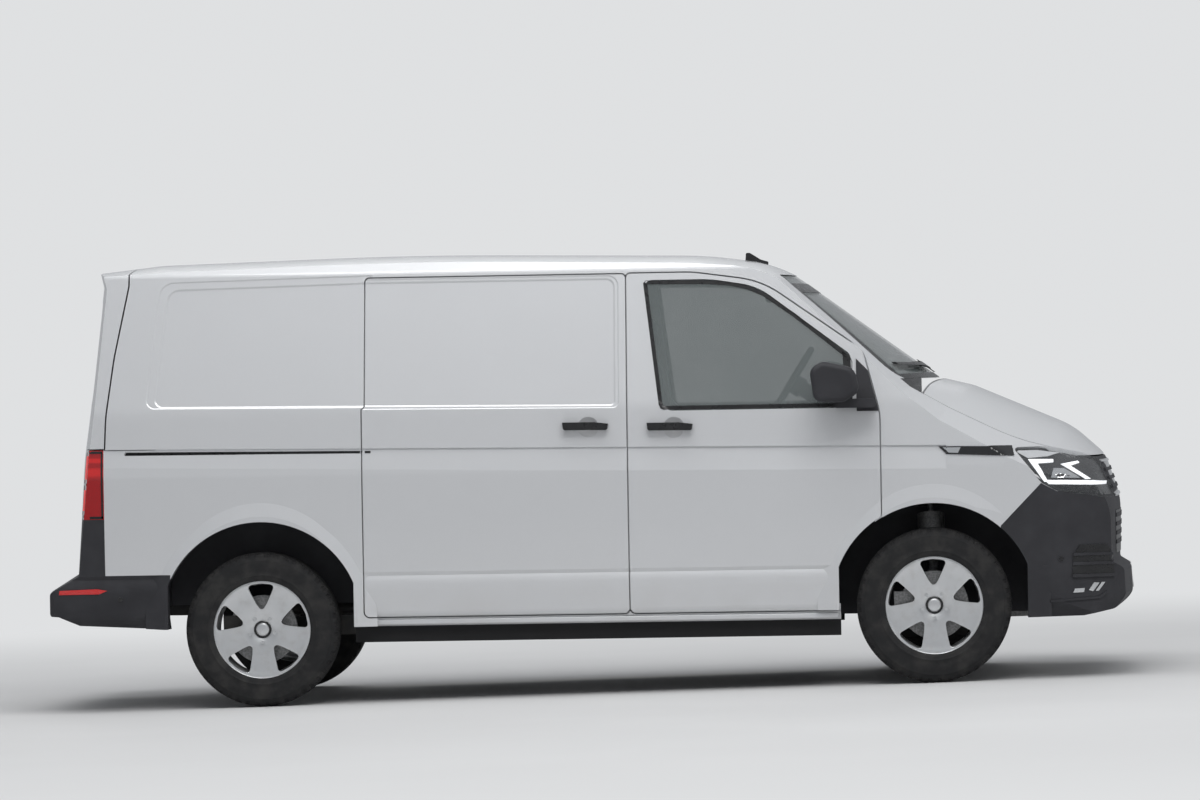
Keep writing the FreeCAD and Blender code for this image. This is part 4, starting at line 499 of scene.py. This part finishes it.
# %% Cloth, cab plastic and plate paint
cloth = Finish("seat_cloth", Roughness=0.92, Sheen_Weight=0.3, Sheen_Roughness=0.5)
across_thread = ((cloth.axis("Y") + cloth.axis("X")) * 1800).math("SINE")
up_thread = ((cloth.axis("Z") - cloth.axis("X")) * 1800).math("SINE")
weave = across_thread * up_thread
rubbed = cloth.noise(5, 4).ramp(0.35, 0.75)
cloth.tint(weave.ramp(-0.8, 0.8) * 0.6 + rubbed * 0.3, (0.030, 0.031, 0.034), (0.095, 0.098, 0.105))
cloth.bump(weave, 0.35, 0.0008)

cab_plastic = Finish("cab_plastic", Roughness=0.6)
leathery = cab_plastic.cells(260)
cab_plastic.tint(cab_plastic.noise(9).ramp(0.3, 0.8), (0.040, 0.041, 0.044), (0.060, 0.061, 0.065))
cab_plastic.set("Roughness", 0.5 + leathery * 0.2)
cab_plastic.bump(leathery.ramp(0.0, 0.6), 0.2)

plate_paint = Finish("blank_plate", Roughness=0.35)
plate_paint.tint(plate_paint.noise(12).ramp(0.3, 0.8), (0.74, 0.74, 0.73), (0.80, 0.80, 0.79))
plate_paint.bump(plate_paint.noise(150, 2), 0.03)
print("finishes", len(bpy.data.materials))

# %% [markdown]
# Every panel that came with the frame gets its finish here. The meshes are left alone:
# only the material slots change.

# %% Finishes for the frame's own pieces
FINISH_OF = {
    paint: ["roof", "side_left", "side_right", "sliding_door", "fender_left", "fender_right", "door_left",
            "door_right", "tailgate", "bonnet"],
    primer: ["floor", "firewall", "partition"],
    black: ["sliding_handle", "handle_left", "handle_right", "wipers", "roof_aerial", "cowl"],
    grain: ["front_bumper", "rear_bumper", "grille", "mirror_left", "mirror_right", "arch_liners"],
    glass: ["windscreen", "window_left", "window_right"],
    dark_glass: ["rear_window"],
    lens: ["headlamps"],
    red_lens: ["tail_lamps"],
    cab_plastic: ["dashboard", "steering_wheel"],
    cloth: ["driver_seat", "passenger_bench"],
    casting: ["engine", "knuckle_left", "knuckle_right"],
    chassis: ["front_subframe", "front_frame", "rear_axle", "exhaust", "fuel_tank"],
    alloy: ["rim_front_left", "rim_front_right", "rim_rear_left", "rim_rear_right"],
    tread_rubber: ["tyre_front_left", "tyre_front_right", "tyre_rear_left", "tyre_rear_right", "spare_wheel"],
}
for finish, names in FINISH_OF.items():
    for name in names:
        nodes[name].data.materials.clear()
        nodes[name].data.materials.append(finish.material)
print("dressed", sum(len(v) for v in FINISH_OF.values()))

# %% [markdown]
# The van stands in a plain studio: a pale floor, a pale world and a few large, soft
# lamps. The world looks pale to the camera and through glass, while the light that
# falls on the van is weaker, so that silver stays silver and does not clip to white.
# Far from the van the floor takes the colour of the world, so there is no horizon.

# %% Floor, world and lamps
BACKDROP = (0.74, 0.75, 0.76)
bpy.ops.mesh.primitive_circle_add(vertices=128, radius=90, fill_type="NGON", location=(0, 0, 0))
floor = bpy.context.object
floor.name = "studio_floor"
ground = Finish("studio_floor_paint", Roughness=0.75, Specular_IOR_Level=0.15)
ground.tint(ground.noise(0.6).ramp(0.3, 0.8), (0.60, 0.60, 0.60), (0.63, 0.63, 0.63))
aside, along = ground.axis("X"), ground.axis("Y")
far_off = (aside * aside * 0.35 + along * along).math("SQRT").ramp(2.2, 9.5)
watched = ground.node("ShaderNodeLightPath", {}, {}, "Is Camera Ray")
through = ground.node("ShaderNodeLightPath", {}, {}, "Is Transmission Ray")
glow = ground.node("ShaderNodeEmission", {}, {"Color": (*BACKDROP, 1), "Strength": 1.0})
surface = Wire(ground, ground.shader.outputs[0])
melting = far_off * watched.math("MAXIMUM", through)
faded = ground.node("ShaderNodeMixShader", {}, {0: melting, 1: surface, 2: glow})
ground.tree.links.new(faded.socket, ground.tree.nodes["Material Output"].inputs["Surface"])
floor.data.materials.append(ground.material)

world = bpy.data.worlds.new("studio")
bpy.context.scene.world = world
world.use_nodes = True
tree = world.node_tree
for node in list(tree.nodes):
    tree.nodes.remove(node)
rays = tree.nodes.new("ShaderNodeLightPath")
seen = tree.nodes.new("ShaderNodeMath")
seen.operation = "MAXIMUM"
tree.links.new(rays.outputs["Is Camera Ray"], seen.inputs[0])
tree.links.new(rays.outputs["Is Transmission Ray"], seen.inputs[1])
pale = tree.nodes.new("ShaderNodeBackground")
pale.inputs["Color"].default_value = (*BACKDROP, 1)
pale.inputs["Strength"].default_value = 1.0
lit = tree.nodes.new("ShaderNodeBackground")
lit.inputs["Color"].default_value = (0.93, 0.96, 1.0, 1)
lit.inputs["Strength"].default_value = 0.42
choice = tree.nodes.new("ShaderNodeMixShader")
out = tree.nodes.new("ShaderNodeOutputWorld")
tree.links.new(seen.outputs[0], choice.inputs[0])
tree.links.new(lit.outputs[0], choice.inputs[1])
tree.links.new(pale.outputs[0], choice.inputs[2])
tree.links.new(choice.outputs[0], out.inputs["Surface"])


def soft_lamp(name, place, aim, size, power):
    """A large rectangular lamp that looks at a point."""
    bpy.ops.object.light_add(type="AREA", location=place)
    lamp = bpy.context.object
    lamp.name = name
    lamp.data.shape = "RECTANGLE"
    lamp.data.size, lamp.data.size_y = size
    lamp.data.energy = power
    lamp.rotation_euler = (Vector(aim) - Vector(place)).to_track_quat("-Z", "Y").to_euler()


soft_lamp("sky_panel", (-1, -2, 8), (0, 0, 0), (9, 4), 330)
soft_lamp("near_side", (2, -8, 9), (0, 0, 1), (9, 3), 400)
soft_lamp("far_side", (-1, 9, 7), (0, 0, 1), (9, 3), 220)
soft_lamp("nose_light", (10, -3, 5), (1, 0, 1), (4, 3), 110)
bpy.context.scene.view_settings.view_transform = "Standard"

# %% [markdown]
# A van tyre is a torus with a flat tread. Its section, from one bead to the other, is
# drawn as a chain of points and spun round the axle, so that the four grooves and the
# ribs beside the bead come for free. Every second shoulder face is then pushed in a
# little, which gives the blocks that bite at the edge of the tread.

# %% Tyre section and spin
AXLE_FRONT, AXLE_REAR = 1544, -1456
HUB_OUT, HUB_UP = 814, 345
HUB = (AXLE_FRONT, -HUB_OUT, HUB_UP)
# Half of the section, from the bead to the middle of the tread: radius, distance out.
TYRE_HALF = [
    (217, 92), (224, 99), (232, 101), (240, 102.5), (243, 105), (247, 105), (250, 103.5), (268, 106.5),
    (286, 107), (304, 104.5), (309, 104.5), (312, 102), (324, 96.5), (334, 89), (341, 78), (342.5, 62),
    (335, 60), (335, 53), (343.4, 51), (344.5, 22), (336.5, 20), (336.5, 12), (344.8, 10),
]
profile = TYRE_HALF + [(r, -out) for r, out in reversed(TYRE_HALF)]
STEPS = 96


def spun(name, outline, steps):
    """A wheel part: an outline of radius and distance out, spun round the axle."""
    return turned_of(name, [(HUB[0], HUB[1] - out, HUB[2] + r) for r, out in outline], HUB, (0, 1, 0), steps)


tyre = spun("tyre", profile, STEPS)


def polar(face):
    """Radius, distance out from the wheel's middle, and turn in degrees of a face."""
    spot = face.center / MM - Vector(HUB)
    return math.hypot(spot.x, spot.z), -spot.y, math.degrees(math.atan2(spot.z, spot.x)) % 360


def select_faces(piece, test):
    """Selects the faces that pass a test, and opens the piece for editing."""
    pick_only(piece)
    bpy.ops.object.mode_set(mode="EDIT")
    bpy.ops.mesh.select_mode(type="FACE")
    bpy.ops.mesh.select_all(action="DESELECT")
    bpy.ops.object.mode_set(mode="OBJECT")
    for face in piece.data.polygons:
        face.select = bool(test(face))
    bpy.ops.object.mode_set(mode="EDIT")


def on_shoulder(face):
    r, out, turn = polar(face)
    return 322 < r < 343 and 76 < abs(out) < 97 and int(turn / 360 * STEPS) % 2 == 0


select_faces(tyre, on_shoulder)
bpy.ops.mesh.inset(thickness=2 * MM, depth=-4 * MM)
bpy.ops.object.mode_set(mode="OBJECT")
pick_only(tyre)
bpy.ops.object.shade_smooth_by_angle(angle=math.radians(38))
print("tyre faces", len(tyre.data.polygons))

# %% [markdown]
# The cast wheel has five wide spokes. Its face is one thick spun dish, and five
# wedge-shaped tools cut the openings out of it. Rounded edges then make it look cast.

# %% Wheel face with five openings
# The dish from the rim to the seat of the cap and back behind: radius, distance out.
DISH = [
    (217, 84), (206, 84.5), (198, 82), (178, 79), (150, 77), (122, 76), (100, 75), (80, 73), (62, 71),
    (48, 66), (35, 63), (35, 48), (62, 54), (100, 58), (150, 60), (198, 62), (217, 66), (217, 84),
]
# One opening, from its foot near the cap to its rounded head: radius, degrees aside.
OPENING = [(92, -3), (98, -7), (118, -11.5), (160, -15.5), (192, -17), (202, -15.5), (206, -12), (207, 0)]
dish = spun("wheel_face", DISH, STEPS)
opening = OPENING + [(r, -aside) for r, aside in reversed(OPENING[:-1])]
for k in range(5):
    around = [(r, math.radians(90 + 72 * k + aside)) for r, aside in opening]
    edge = [(HUB[0] + r * math.cos(t), HUB[1], HUB[2] + r * math.sin(t)) for r, t in around]
    tool = plate_of("wheel_opening", edge, (0, -120, 0))
    apply(dish, "BOOLEAN", object=tool, operation="DIFFERENCE", solver="EXACT")
    bpy.data.objects.remove(tool)
soften(dish, 3, 35, 3)

# %% [markdown]
# Behind the face lies the rim itself, a spun ring with a rolled lip, and behind
# that the brake disc on its hat. The plain centre cap sits in a black ring, with the
# wheel bolts around it.

# %% Rim ring, cap, bolts and brake disc
RING = [
    (233, -92), (231, -97), (226, -98.5), (221, -95), (216, -88), (210, -74), (202, -58), (199, 0),
    (199, 62), (206, 84), (216, 92), (229, 95), (232, 92), (231, 88), (219, 85), (208, 70), (206, 0),
    (208, -58), (218, -84), (231, -88), (233, -92),
]
ring = spun("wheel_ring", [(r, -y) for r, y in RING], STEPS)
soften(ring, 1.2, 40, 2)
BOLT_CIRCLE, BOLT_OUT = 56, 72
bolts = []
for k in range(5):
    turn = math.radians(90 + 36 + 72 * k)
    spot = Vector(HUB) + Vector((math.cos(turn), 0, math.sin(turn))) * BOLT_CIRCLE
    middle = (spot - Vector((0, BOLT_OUT, 0))) * MM
    bpy.ops.mesh.primitive_cylinder_add(vertices=6, radius=9 * MM, depth=22 * MM, location=middle,
                                        rotation=(math.pi / 2, 0, 0))
    bolt = bpy.context.object
    bpy.ops.object.transform_apply(location=True, rotation=True, scale=True)
    bpy.ops.object.mode_set(mode="EDIT")
    bpy.ops.mesh.select_all(action="DESELECT")
    bpy.ops.object.mode_set(mode="OBJECT")
    for face in bolt.data.polygons:
        face.select = face.normal.y < -0.9
    bpy.ops.object.mode_set(mode="EDIT")
    bpy.ops.mesh.inset(thickness=2.4 * MM, depth=0)
    bpy.ops.mesh.inset(thickness=0.4 * MM, depth=-3 * MM)
    bpy.ops.object.mode_set(mode="OBJECT")
    bolts.append(bolt)
rim = joined_of("rim", [dish, ring] + bolts)
CAP = [(0.5, 70), (18, 69.6), (27, 68), (29.5, 66), (30.5, 63), (30.5, 55)]
cap = spun("wheel_cap", CAP, 48)
COLLAR = [(30.5, 66), (32, 69), (36, 69.5), (39, 66), (39, 58)]
collar = spun("wheel_cap_ring", COLLAR, 48)
DISC = [(40, 52), (80, 52), (83, 49), (83, 22), (151, 22), (153, 20), (153, 2), (151, 0), (96, 0)]
disc = spun("brake_disc", DISC, 72)
for round_piece in (cap, collar, disc):
    pick_only(round_piece)
    bpy.ops.object.shade_smooth_by_angle(angle=math.radians(35))
print("rim faces", len(rim.data.polygons))

# %% [markdown]
# One finished wheel serves for all four corners. Each copy has its own mesh, so that it
# can turn on its own, and the left pair is mirrored to keep its face outwards.

# %% Wheels at four corners
WHEEL_PARTS = [
    (tyre, tread_rubber.material, "tyre", "tyre"), (rim, alloy.material, "alloy", "rim"),
    (cap, alloy.material, "alloy", None), (collar, piano.material, "trim", None),
    (disc, casting.material, "chassis", None),
]
for end, ahead_by in (("front", 0), ("rear", AXLE_REAR - AXLE_FRONT)):
    for side in ("right", "left"):
        for model, finish, slot, node in WHEEL_PARTS:
            copy = mirror_of(model, f"{model.name}_{end}_{side}") if side == "left" else model.copy()
            if side == "right":
                copy.data = model.data.copy()
                copy.name = f"{model.name}_{end}_{side}"
                bpy.context.collection.objects.link(copy)
            copy.data.transform(Matrix.Translation((ahead_by * MM, 0, 0)))
            replaced = [f"{node}_{end}_{side}"] if node else []
            fit(copy, f"wheel_{end}_{side}", finish, slot, *replaced)
for model, *_ in WHEEL_PARTS:
    bpy.data.objects.remove(model)
print("wheels", 4)

# %% [markdown]
# A modern headlamp is a clear cover over a dark bowl, with bright bars in it. The
# frame's lamp is a solid as thick as the wall. A copy of it, shrunk all over, is the
# bowl; the frame's own lamp above it stays as the clear cover. Bars are drawn from the
# side as flat plates and are then pressed onto the bowl.

# %% Bowls behind the lamp covers
def merged_copy(name, node):
    """A free copy of a frame node with its loose triangles merged, left in edit mode."""
    piece = nodes[node].copy()
    piece.data = nodes[node].data.copy()
    piece.name = name
    piece.parent = None
    bpy.context.collection.objects.link(piece)
    for key in list(piece.keys()):
        del piece[key]
    pick_only(piece)
    bpy.ops.object.mode_set(mode="EDIT")
    bpy.ops.mesh.select_all(action="SELECT")
    bpy.ops.mesh.remove_doubles(threshold=MERGE)
    return piece


def shrunk_copy(name, node, inward):
    """A copy of a frame node with its triangles merged, smaller by a distance in millimetres."""
    piece = merged_copy(name, node)
    bpy.ops.mesh.dissolve_limited(angle_limit=math.radians(1))
    bpy.ops.mesh.quads_convert_to_tris()
    bpy.ops.mesh.select_all(action="SELECT")
    bpy.ops.transform.shrink_fatten(value=-inward * MM, use_even_offset=True)
    bpy.ops.object.mode_set(mode="OBJECT")
    return piece


bowl = shrunk_copy("headlamp_bowl", "headlamps", 9)
fit(bowl, "body", lamp_black.material, "trim")
print("bowl faces", len(bowl.data.polygons))


def sampled(corners, step):
    """The corners of an outline with more points along its edges."""
    points = []
    for start, end in zip(corners, corners[1:] + corners[:1]):
        count = max(1, round(math.dist(start, end) / step))
        points += [tuple(a + (b - a) * k / count for a, b in zip(start, end)) for k in range(count)]
    return points


def band(name, outline, axis, thick, gap, target=None, cuts=1, ring=0, step=25):
    """A flat outline, or a ring of some width inside it, pressed onto a surface and thickened."""
    piece = line_of(name, sampled(outline, step))
    bpy.ops.mesh.select_all(action="SELECT")
    bpy.ops.mesh.edge_face_add()
    if ring:
        bpy.ops.mesh.inset(thickness=ring * MM)
        bpy.ops.mesh.delete(type="FACE")
        bpy.ops.mesh.select_all(action="SELECT")
    bpy.ops.mesh.quads_convert_to_tris()
    if cuts:
        bpy.ops.mesh.subdivide(number_cuts=cuts)
    bpy.ops.object.mode_set(mode="OBJECT")
    rake(piece)
    return thicken(lay(piece, axis, gap, target), thick)


def from_side(points, out):
    """Points (ahead, up) of a side view as places at a distance out on the right side."""
    return [(ahead_by, -out, up_by) for ahead_by, up_by in points]


# %% [markdown]
# Two bars light up: one starts at the top of the lamp, turns down and runs forwards
# along the bottom, and the other is short and slanted. A wedge in the colour of the body
# fills the upper rear corner, and a small chrome plate stands for the projector.

# %% Bars, wedge and projector of the headlamps
def fit_pair(piece, name, body, finish, slot):
    """Fits a right-hand piece and its mirrored twin."""
    fit(mirror_of(piece, f"{name}_left"), body, finish, slot)
    fit(piece, body, finish, slot)


LAMP_OUT = 1100
RUNNING_BAR = [
    (1962, 1017), (2075, 1014), (2075, 1001), (2003, 998), (2046, 927), (2222, 922), (2316, 912), (2312, 899),
    (2040, 908),
]
SLANT_BAR = [(2108, 992), (2186, 1004), (2192, 996), (2150, 984), (2238, 926), (2216, 926), (2122, 984)]
REFLECTOR = [(1906, 1056), (2002, 1056), (2104, 1042), (2052, 1028), (1962, 1022)]
INNER_BOX = [(2075, 975), (2120, 975), (2195, 932), (2062, 936)]
for name, outline, finish, thick in (
    ("running_light", RUNNING_BAR, white_bar, 3), ("slant_light", SLANT_BAR, white_bar, 3),
    ("lamp_reflector", REFLECTOR, paint, 2), ("lamp_projector", INNER_BOX, chrome, 2),
):
    right_side = band(f"{name}_right", from_side(outline, LAMP_OUT), "Y", thick, 1, bowl)
    fit_pair(right_side, name, "body", finish.material, "headlamp")

# %% [markdown]
# The tail lamp is a tall red block with dark edges. A black frame is laid round it, and
# brighter fields on the rear face show where the bulbs sit.

# %% Dark borders and bright fields of the tail lamps
TAIL_OUT = 1000
BORDERS = [
    [(-2170, 822), (-2162, 822), (-2162, 1122), (-2170, 1122)],
    [(-2222, 1112), (-2162, 1112), (-2162, 1123), (-2222, 1123)],
    [(-2222, 821), (-2162, 821), (-2162, 832), (-2222, 832)],
]
for k, outline in enumerate(BORDERS):
    border = band(f"tail_lamp_edge_{k}_right", from_side(outline, TAIL_OUT), "Y", 1.5, 0.3)
    fit_pair(border, f"tail_lamp_edge_{k}", "body", piano.material, "trim")


# Flat pieces start this far ahead of or behind the van's middle, in millimetres.
PAST_THE_END = 2600


def from_behind(points):
    """Points (across, up) of a rear view as places behind the van, on its right side."""
    return [(-PAST_THE_END, -across, up_by) for across, up_by in points]


REAR_BORDERS = [
    [(794, 822), (802, 822), (802, 1122), (794, 1122)],
    [(794, 1112), (928, 1112), (928, 1124), (794, 1124)],
    [(794, 820), (928, 820), (928, 832), (794, 832)],
    [(802, 962), (925, 962), (925, 972), (802, 972)],
]
REAR_BARS = [
    [(822, 850), (902, 850), (902, 942), (822, 942)],
    [(822, 990), (902, 990), (902, 1094), (822, 1094)],
]
on_rear_face = [(outline, piano, "trim") for outline in REAR_BORDERS]
on_rear_face += [(outline, lit_red, "tail_lamp") for outline in REAR_BARS]
for k, (outline, finish, slot) in enumerate(on_rear_face):
    piece = band(f"tail_lamp_face_{k}_right", from_behind(outline), "X", 1.5, 0.3)
    fit_pair(piece, f"tail_lamp_face_{k}", "body", finish.material, slot)

# %% [markdown]
# The nose is a stack of bars: slats in the grille, slats in the lower air inlet, and
# two thin chrome strips that run from lamp to lamp. Each is drawn as a straight strip
# in front of the van and pressed back onto the nose, so that it takes up its bow. Dark
# panels behind the slats and the blank front plate are made the same way.

# %% Strips pressed onto the nose
def strip(name, start, end, height, thick, gap, steps=40):
    """A straight strip between two places, pressed onto the skin and thickened, in millimetres."""
    start, end = Vector(start), Vector(end)
    piece = line_of(name, [start.lerp(end, k / steps) for k in range(steps + 1)])
    bpy.ops.mesh.select_all(action="SELECT")
    bpy.ops.mesh.extrude_region_move(TRANSFORM_OT_translate={"value": Vector(height) * MM})
    bpy.ops.object.mode_set(mode="OBJECT")
    rake(piece)
    return thicken(lay(piece, "X", gap), thick)


# Each strip across the nose: how far out it reaches, its lower edge, height, thickness, finish.
NOSE_STRIPS = {
    "grille_panel": (556, 846, 168, 2, piano), "grille_chrome_high": (556, 1001, 7, 6, chrome),
    "grille_slat_high": (550, 962, 14, 6, grain), "grille_slat_middle": (550, 924, 14, 6, grain),
    "grille_slat_low": (550, 886, 14, 6, grain), "grille_chrome_low": (556, 852, 7, 6, chrome),
    "inlet_panel": (640, 596, 190, 2, black), "inlet_slat_1": (640, 756, 18, 5, grain),
    "inlet_slat_2": (640, 716, 18, 5, grain), "inlet_slat_3": (640, 676, 18, 5, grain),
    "inlet_slat_4": (640, 636, 18, 5, grain),
}
for name, (reach, low, tall, thick, finish) in NOSE_STRIPS.items():
    made = strip(name, (PAST_THE_END, -reach, low), (PAST_THE_END, reach, low), (0, 0, tall), thick, 0.5)
    fit(made, "body", finish.material, "alloy" if finish is chrome else "trim")
plate = strip("front_plate", (PAST_THE_END, -262, 426), (PAST_THE_END, 262, 426), (0, 0, 108), 4, 1)
fit(soften(plate, 1.5), "body", plate_paint.material, "trim")
print("nose strips", len(NOSE_STRIPS))

# %% [markdown]
# On each front corner the bumper has a dark inlet with ribs, a sensor dot, three small
# chrome fins and a lip. From the side the corner is almost flat, so these are pressed on
# sideways, and so is the sensor dot at the rear.

# %% Inlets, fins and sensors on the corners
CORNER_OUT = 1100
DOT_SIDES = 20


def dot(name, ahead_by, up_by, radius, gap):
    """A round spot pressed onto the skin from the side."""
    turns = [k * math.tau / DOT_SIDES for k in range(DOT_SIDES)]
    ring = [(ahead_by + radius * math.cos(turn), up_by + radius * math.sin(turn)) for turn in turns]
    return band(name, from_side(ring, CORNER_OUT), "Y", 1.5, gap, cuts=0)


CORNER_PIECES = [
    ("corner_inlet_high", [(2164, 602), (2184, 636), (2306, 636), (2326, 602)], black, 4),
    ("corner_bar_high", [(2154, 588), (2330, 588), (2328, 601), (2156, 601)], grain, 8),
    ("corner_inlet_middle", [(2153, 562), (2332, 562), (2331, 587), (2154, 587)], black, 4),
    ("corner_bar_middle", [(2152, 546), (2334, 546), (2333, 561), (2153, 561)], grain, 8),
    ("corner_inlet_low", [(2151, 508), (2336, 508), (2335, 545), (2152, 545)], black, 4),
    ("corner_bar_low", [(2150, 492), (2338, 492), (2337, 507), (2151, 507)], grain, 8),
    ("corner_fin_rear", [(2152, 424), (2200, 426), (2204, 444), (2160, 442)], chrome, 3),
    ("corner_fin_middle", [(2222, 434), (2240, 428), (2270, 466), (2246, 468)], chrome, 3),
    ("corner_fin_front", [(2252, 430), (2266, 430), (2296, 468), (2280, 468)], chrome, 3),
    ("corner_lip", [(2050, 384), (2272, 396), (2306, 420), (2304, 430), (2268, 405), (2050, 393)], grain, 6),
]
for name, outline, finish, thick in CORNER_PIECES:
    made = band(f"{name}_right", from_side(outline, CORNER_OUT), "Y", thick, 0.3)
    fit_pair(made, name, "body", finish.material, "alloy" if finish is chrome else "trim")
for name, ahead_by, up_by in (("front_sensor", 2101, 576), ("rear_sensor", -2094, 459)):
    for k, (radius, finish) in enumerate(((16, grain), (11, black))):
        made = dot(f"{name}_{k}_right", ahead_by, up_by, radius, 0.3 + k * 1.6)
        fit_pair(made, f"{name}_{k}", "body", finish.material, "trim")
print("corner pieces", len(CORNER_PIECES))

# %% [markdown]
# The flanks get their lines: black frames round the door glass, the black strip between
# door and headlamp with a blank chrome wedge on it, the slot that the sliding door's
# rear arm runs in, painted sill lips under the doors, and red reflectors at the rear. The
# slot is a recess in the panel, and the black strip laid into it is painted shade.

# %% Window frames, belt strip, slide slot, sill lips and reflectors
SIDE_OUT = 1100
FRAME = [
    (262, 1832), (274, 1844), (480, 1842), (560, 1840), (640, 1834), (724, 1817), (806, 1780), (937, 1687),
    (1048, 1599), (1150, 1516), (1180, 1492), (1190, 1466), (1186, 1266), (348, 1266), (334, 1272),
    (326, 1290),
]
DIVIDER = [(1146, 1514), (1178, 1488), (1184, 1270), (1160, 1270)]
STRIP = [(1566, 1083), (1601, 1049), (1665, 1046), (1900, 1036), (1891, 1079), (1665, 1083)]
WEDGE = [(1584, 1078), (1611, 1055), (1652, 1053), (1664, 1078)]
for side in ("right", "left"):
    for name, outline, ring in (("window_frame", FRAME, 17), ("window_divider", DIVIDER, 0)):
        piece = band(f"{name}_{side}", from_side(outline, SIDE_OUT), "Y", 1.5, 0.4, ring=ring)
        if side == "left":
            twin = mirror_of(piece, piece.name)
            bpy.data.objects.remove(piece)
            piece = twin
        fit(piece, f"front_door_{side}", black.material, "trim")
for name, outline, finish, gap in (("belt_strip", STRIP, piano, 3.2), ("belt_wedge", WEDGE, chrome, 5.2)):
    piece = band(f"{name}_right", from_side(outline, SIDE_OUT), "Y", 1.5, gap, cuts=2, step=12)
    fit_pair(piece, name, "body", finish.material, "trim")
# The black strip in the slide slot is painted shade of the deep recess.
SLOT = [(-2062, 1101), (-2056, 1115), (-962, 1105), (-962, 1095)]
slot = band("slide_slot", from_side(SLOT, SIDE_OUT), "Y", 1, 0.5)
fit(slot, "body", black.material, "trim")
for side, out in (("right", -1), ("left", 1)):
    low, high = sorted((out * 906, out * 866))
    lip = rake(soften(block_of(f"sill_lip_{side}", (-1020, low, 328), (1110, high, 351)), 5, 30, 3))
    fit(lip, "body", paint.material, "paint")
REFLECTOR_BAR = [(-2368, 484), (-2364, 503), (-2196, 508), (-2150, 500), (-2186, 485)]
reflector = band("rear_reflector_right", from_side(REFLECTOR_BAR, SIDE_OUT), "Y", 3, 0.4)
fit_pair(reflector, "rear_reflector", "body", red_lens.material, "tail_lamp")

# %% [markdown]
# Windscreen and rear window are glued in, so each has a black border printed on the
# glass. It hides the glue and makes the glass look dark at its edges.

# %% Black borders on the glued glass
def from_front(points):
    """Points (across, up) of a front view as places in front of the van."""
    return [(PAST_THE_END, -across, up_by) for across, up_by in points]


SCREEN = [
    (-690, 1856), (690, 1856), (702, 1844), (812, 1400), (802, 1390), (-802, 1390), (-812, 1400),
    (-702, 1844),
]
screen_edge = band("windscreen_border", from_front(SCREEN), "X", 1, 0.4, nodes["windscreen"], ring=42)
fit(screen_edge, "body", black.material, "glass")
REAR = [
    (-630, 1784), (630, 1784), (642, 1770), (690, 1350), (682, 1342), (-682, 1342), (-690, 1350),
    (-642, 1770),
]
rear_edge = band("rear_window_border", from_behind(REAR), "X", 1, 0.4, nodes["rear_window"], ring=34)
fit(rear_edge, "tailgate_lid", black.material, "glass")
print("border faces", len(screen_edge.data.polygons), len(rear_edge.data.polygons))

# %% [markdown]
# The frame's seats are plain blocks with sharp corners. A real seat is foam under
# cloth. A copy of each block is remeshed into small even faces, smoothed until the
# corners are round, and then pushed in and out a little by a slow cloud pattern. No
# cloth is simulated here, so there are no folds and no seams. The copy takes the place
# of the block.

# %% Padded seats
def foam_seat(name, node, size, rounds):
    """A soft copy of a frame seat: remeshed, smoothed and made slightly uneven."""
    piece = merged_copy(name, node)
    bpy.ops.object.mode_set(mode="OBJECT")
    apply(piece, "REMESH", mode="VOXEL", voxel_size=size * MM)
    apply(piece, "SMOOTH", factor=0.5, iterations=rounds)
    puff = bpy.data.textures.new(f"{name}_puff", "CLOUDS")
    puff.noise_scale = 0.22
    apply(piece, "DISPLACE", texture=puff, texture_coords="GLOBAL", strength=6 * MM, mid_level=0.65)
    pick_only(piece)
    bpy.ops.object.shade_smooth()
    fit(piece, "body", cloth.material, "seat", node)
    return piece


foam = [
    foam_seat("driver_seat_foam", "driver_seat", 18, 6),
    foam_seat("bench_foam", "passenger_bench", 20, 6),
]
print("seat faces", [len(piece.data.polygons) for piece in foam])

# %% [markdown]
# One small thing finishes the cab: the mirror behind the top of the windscreen, a flat
# box with well rounded edges.

# %% Inside mirror
mirror_back = block_of("inside_mirror", (792, -120, 1742), (822, 120, 1806))
mirror_back = rake(soften(mirror_back, 12, 30, 4))
fit(mirror_back, "body", black.material, "interior")
print("mirror faces", len(mirror_back.data.polygons))

# %% [markdown]
# The skin has done its work and goes. The dressing reaches past the frame's box at the
# front alone, by about five millimetres.

# %% Close the scene
bpy.data.objects.remove(skin)
pick_only(floor)
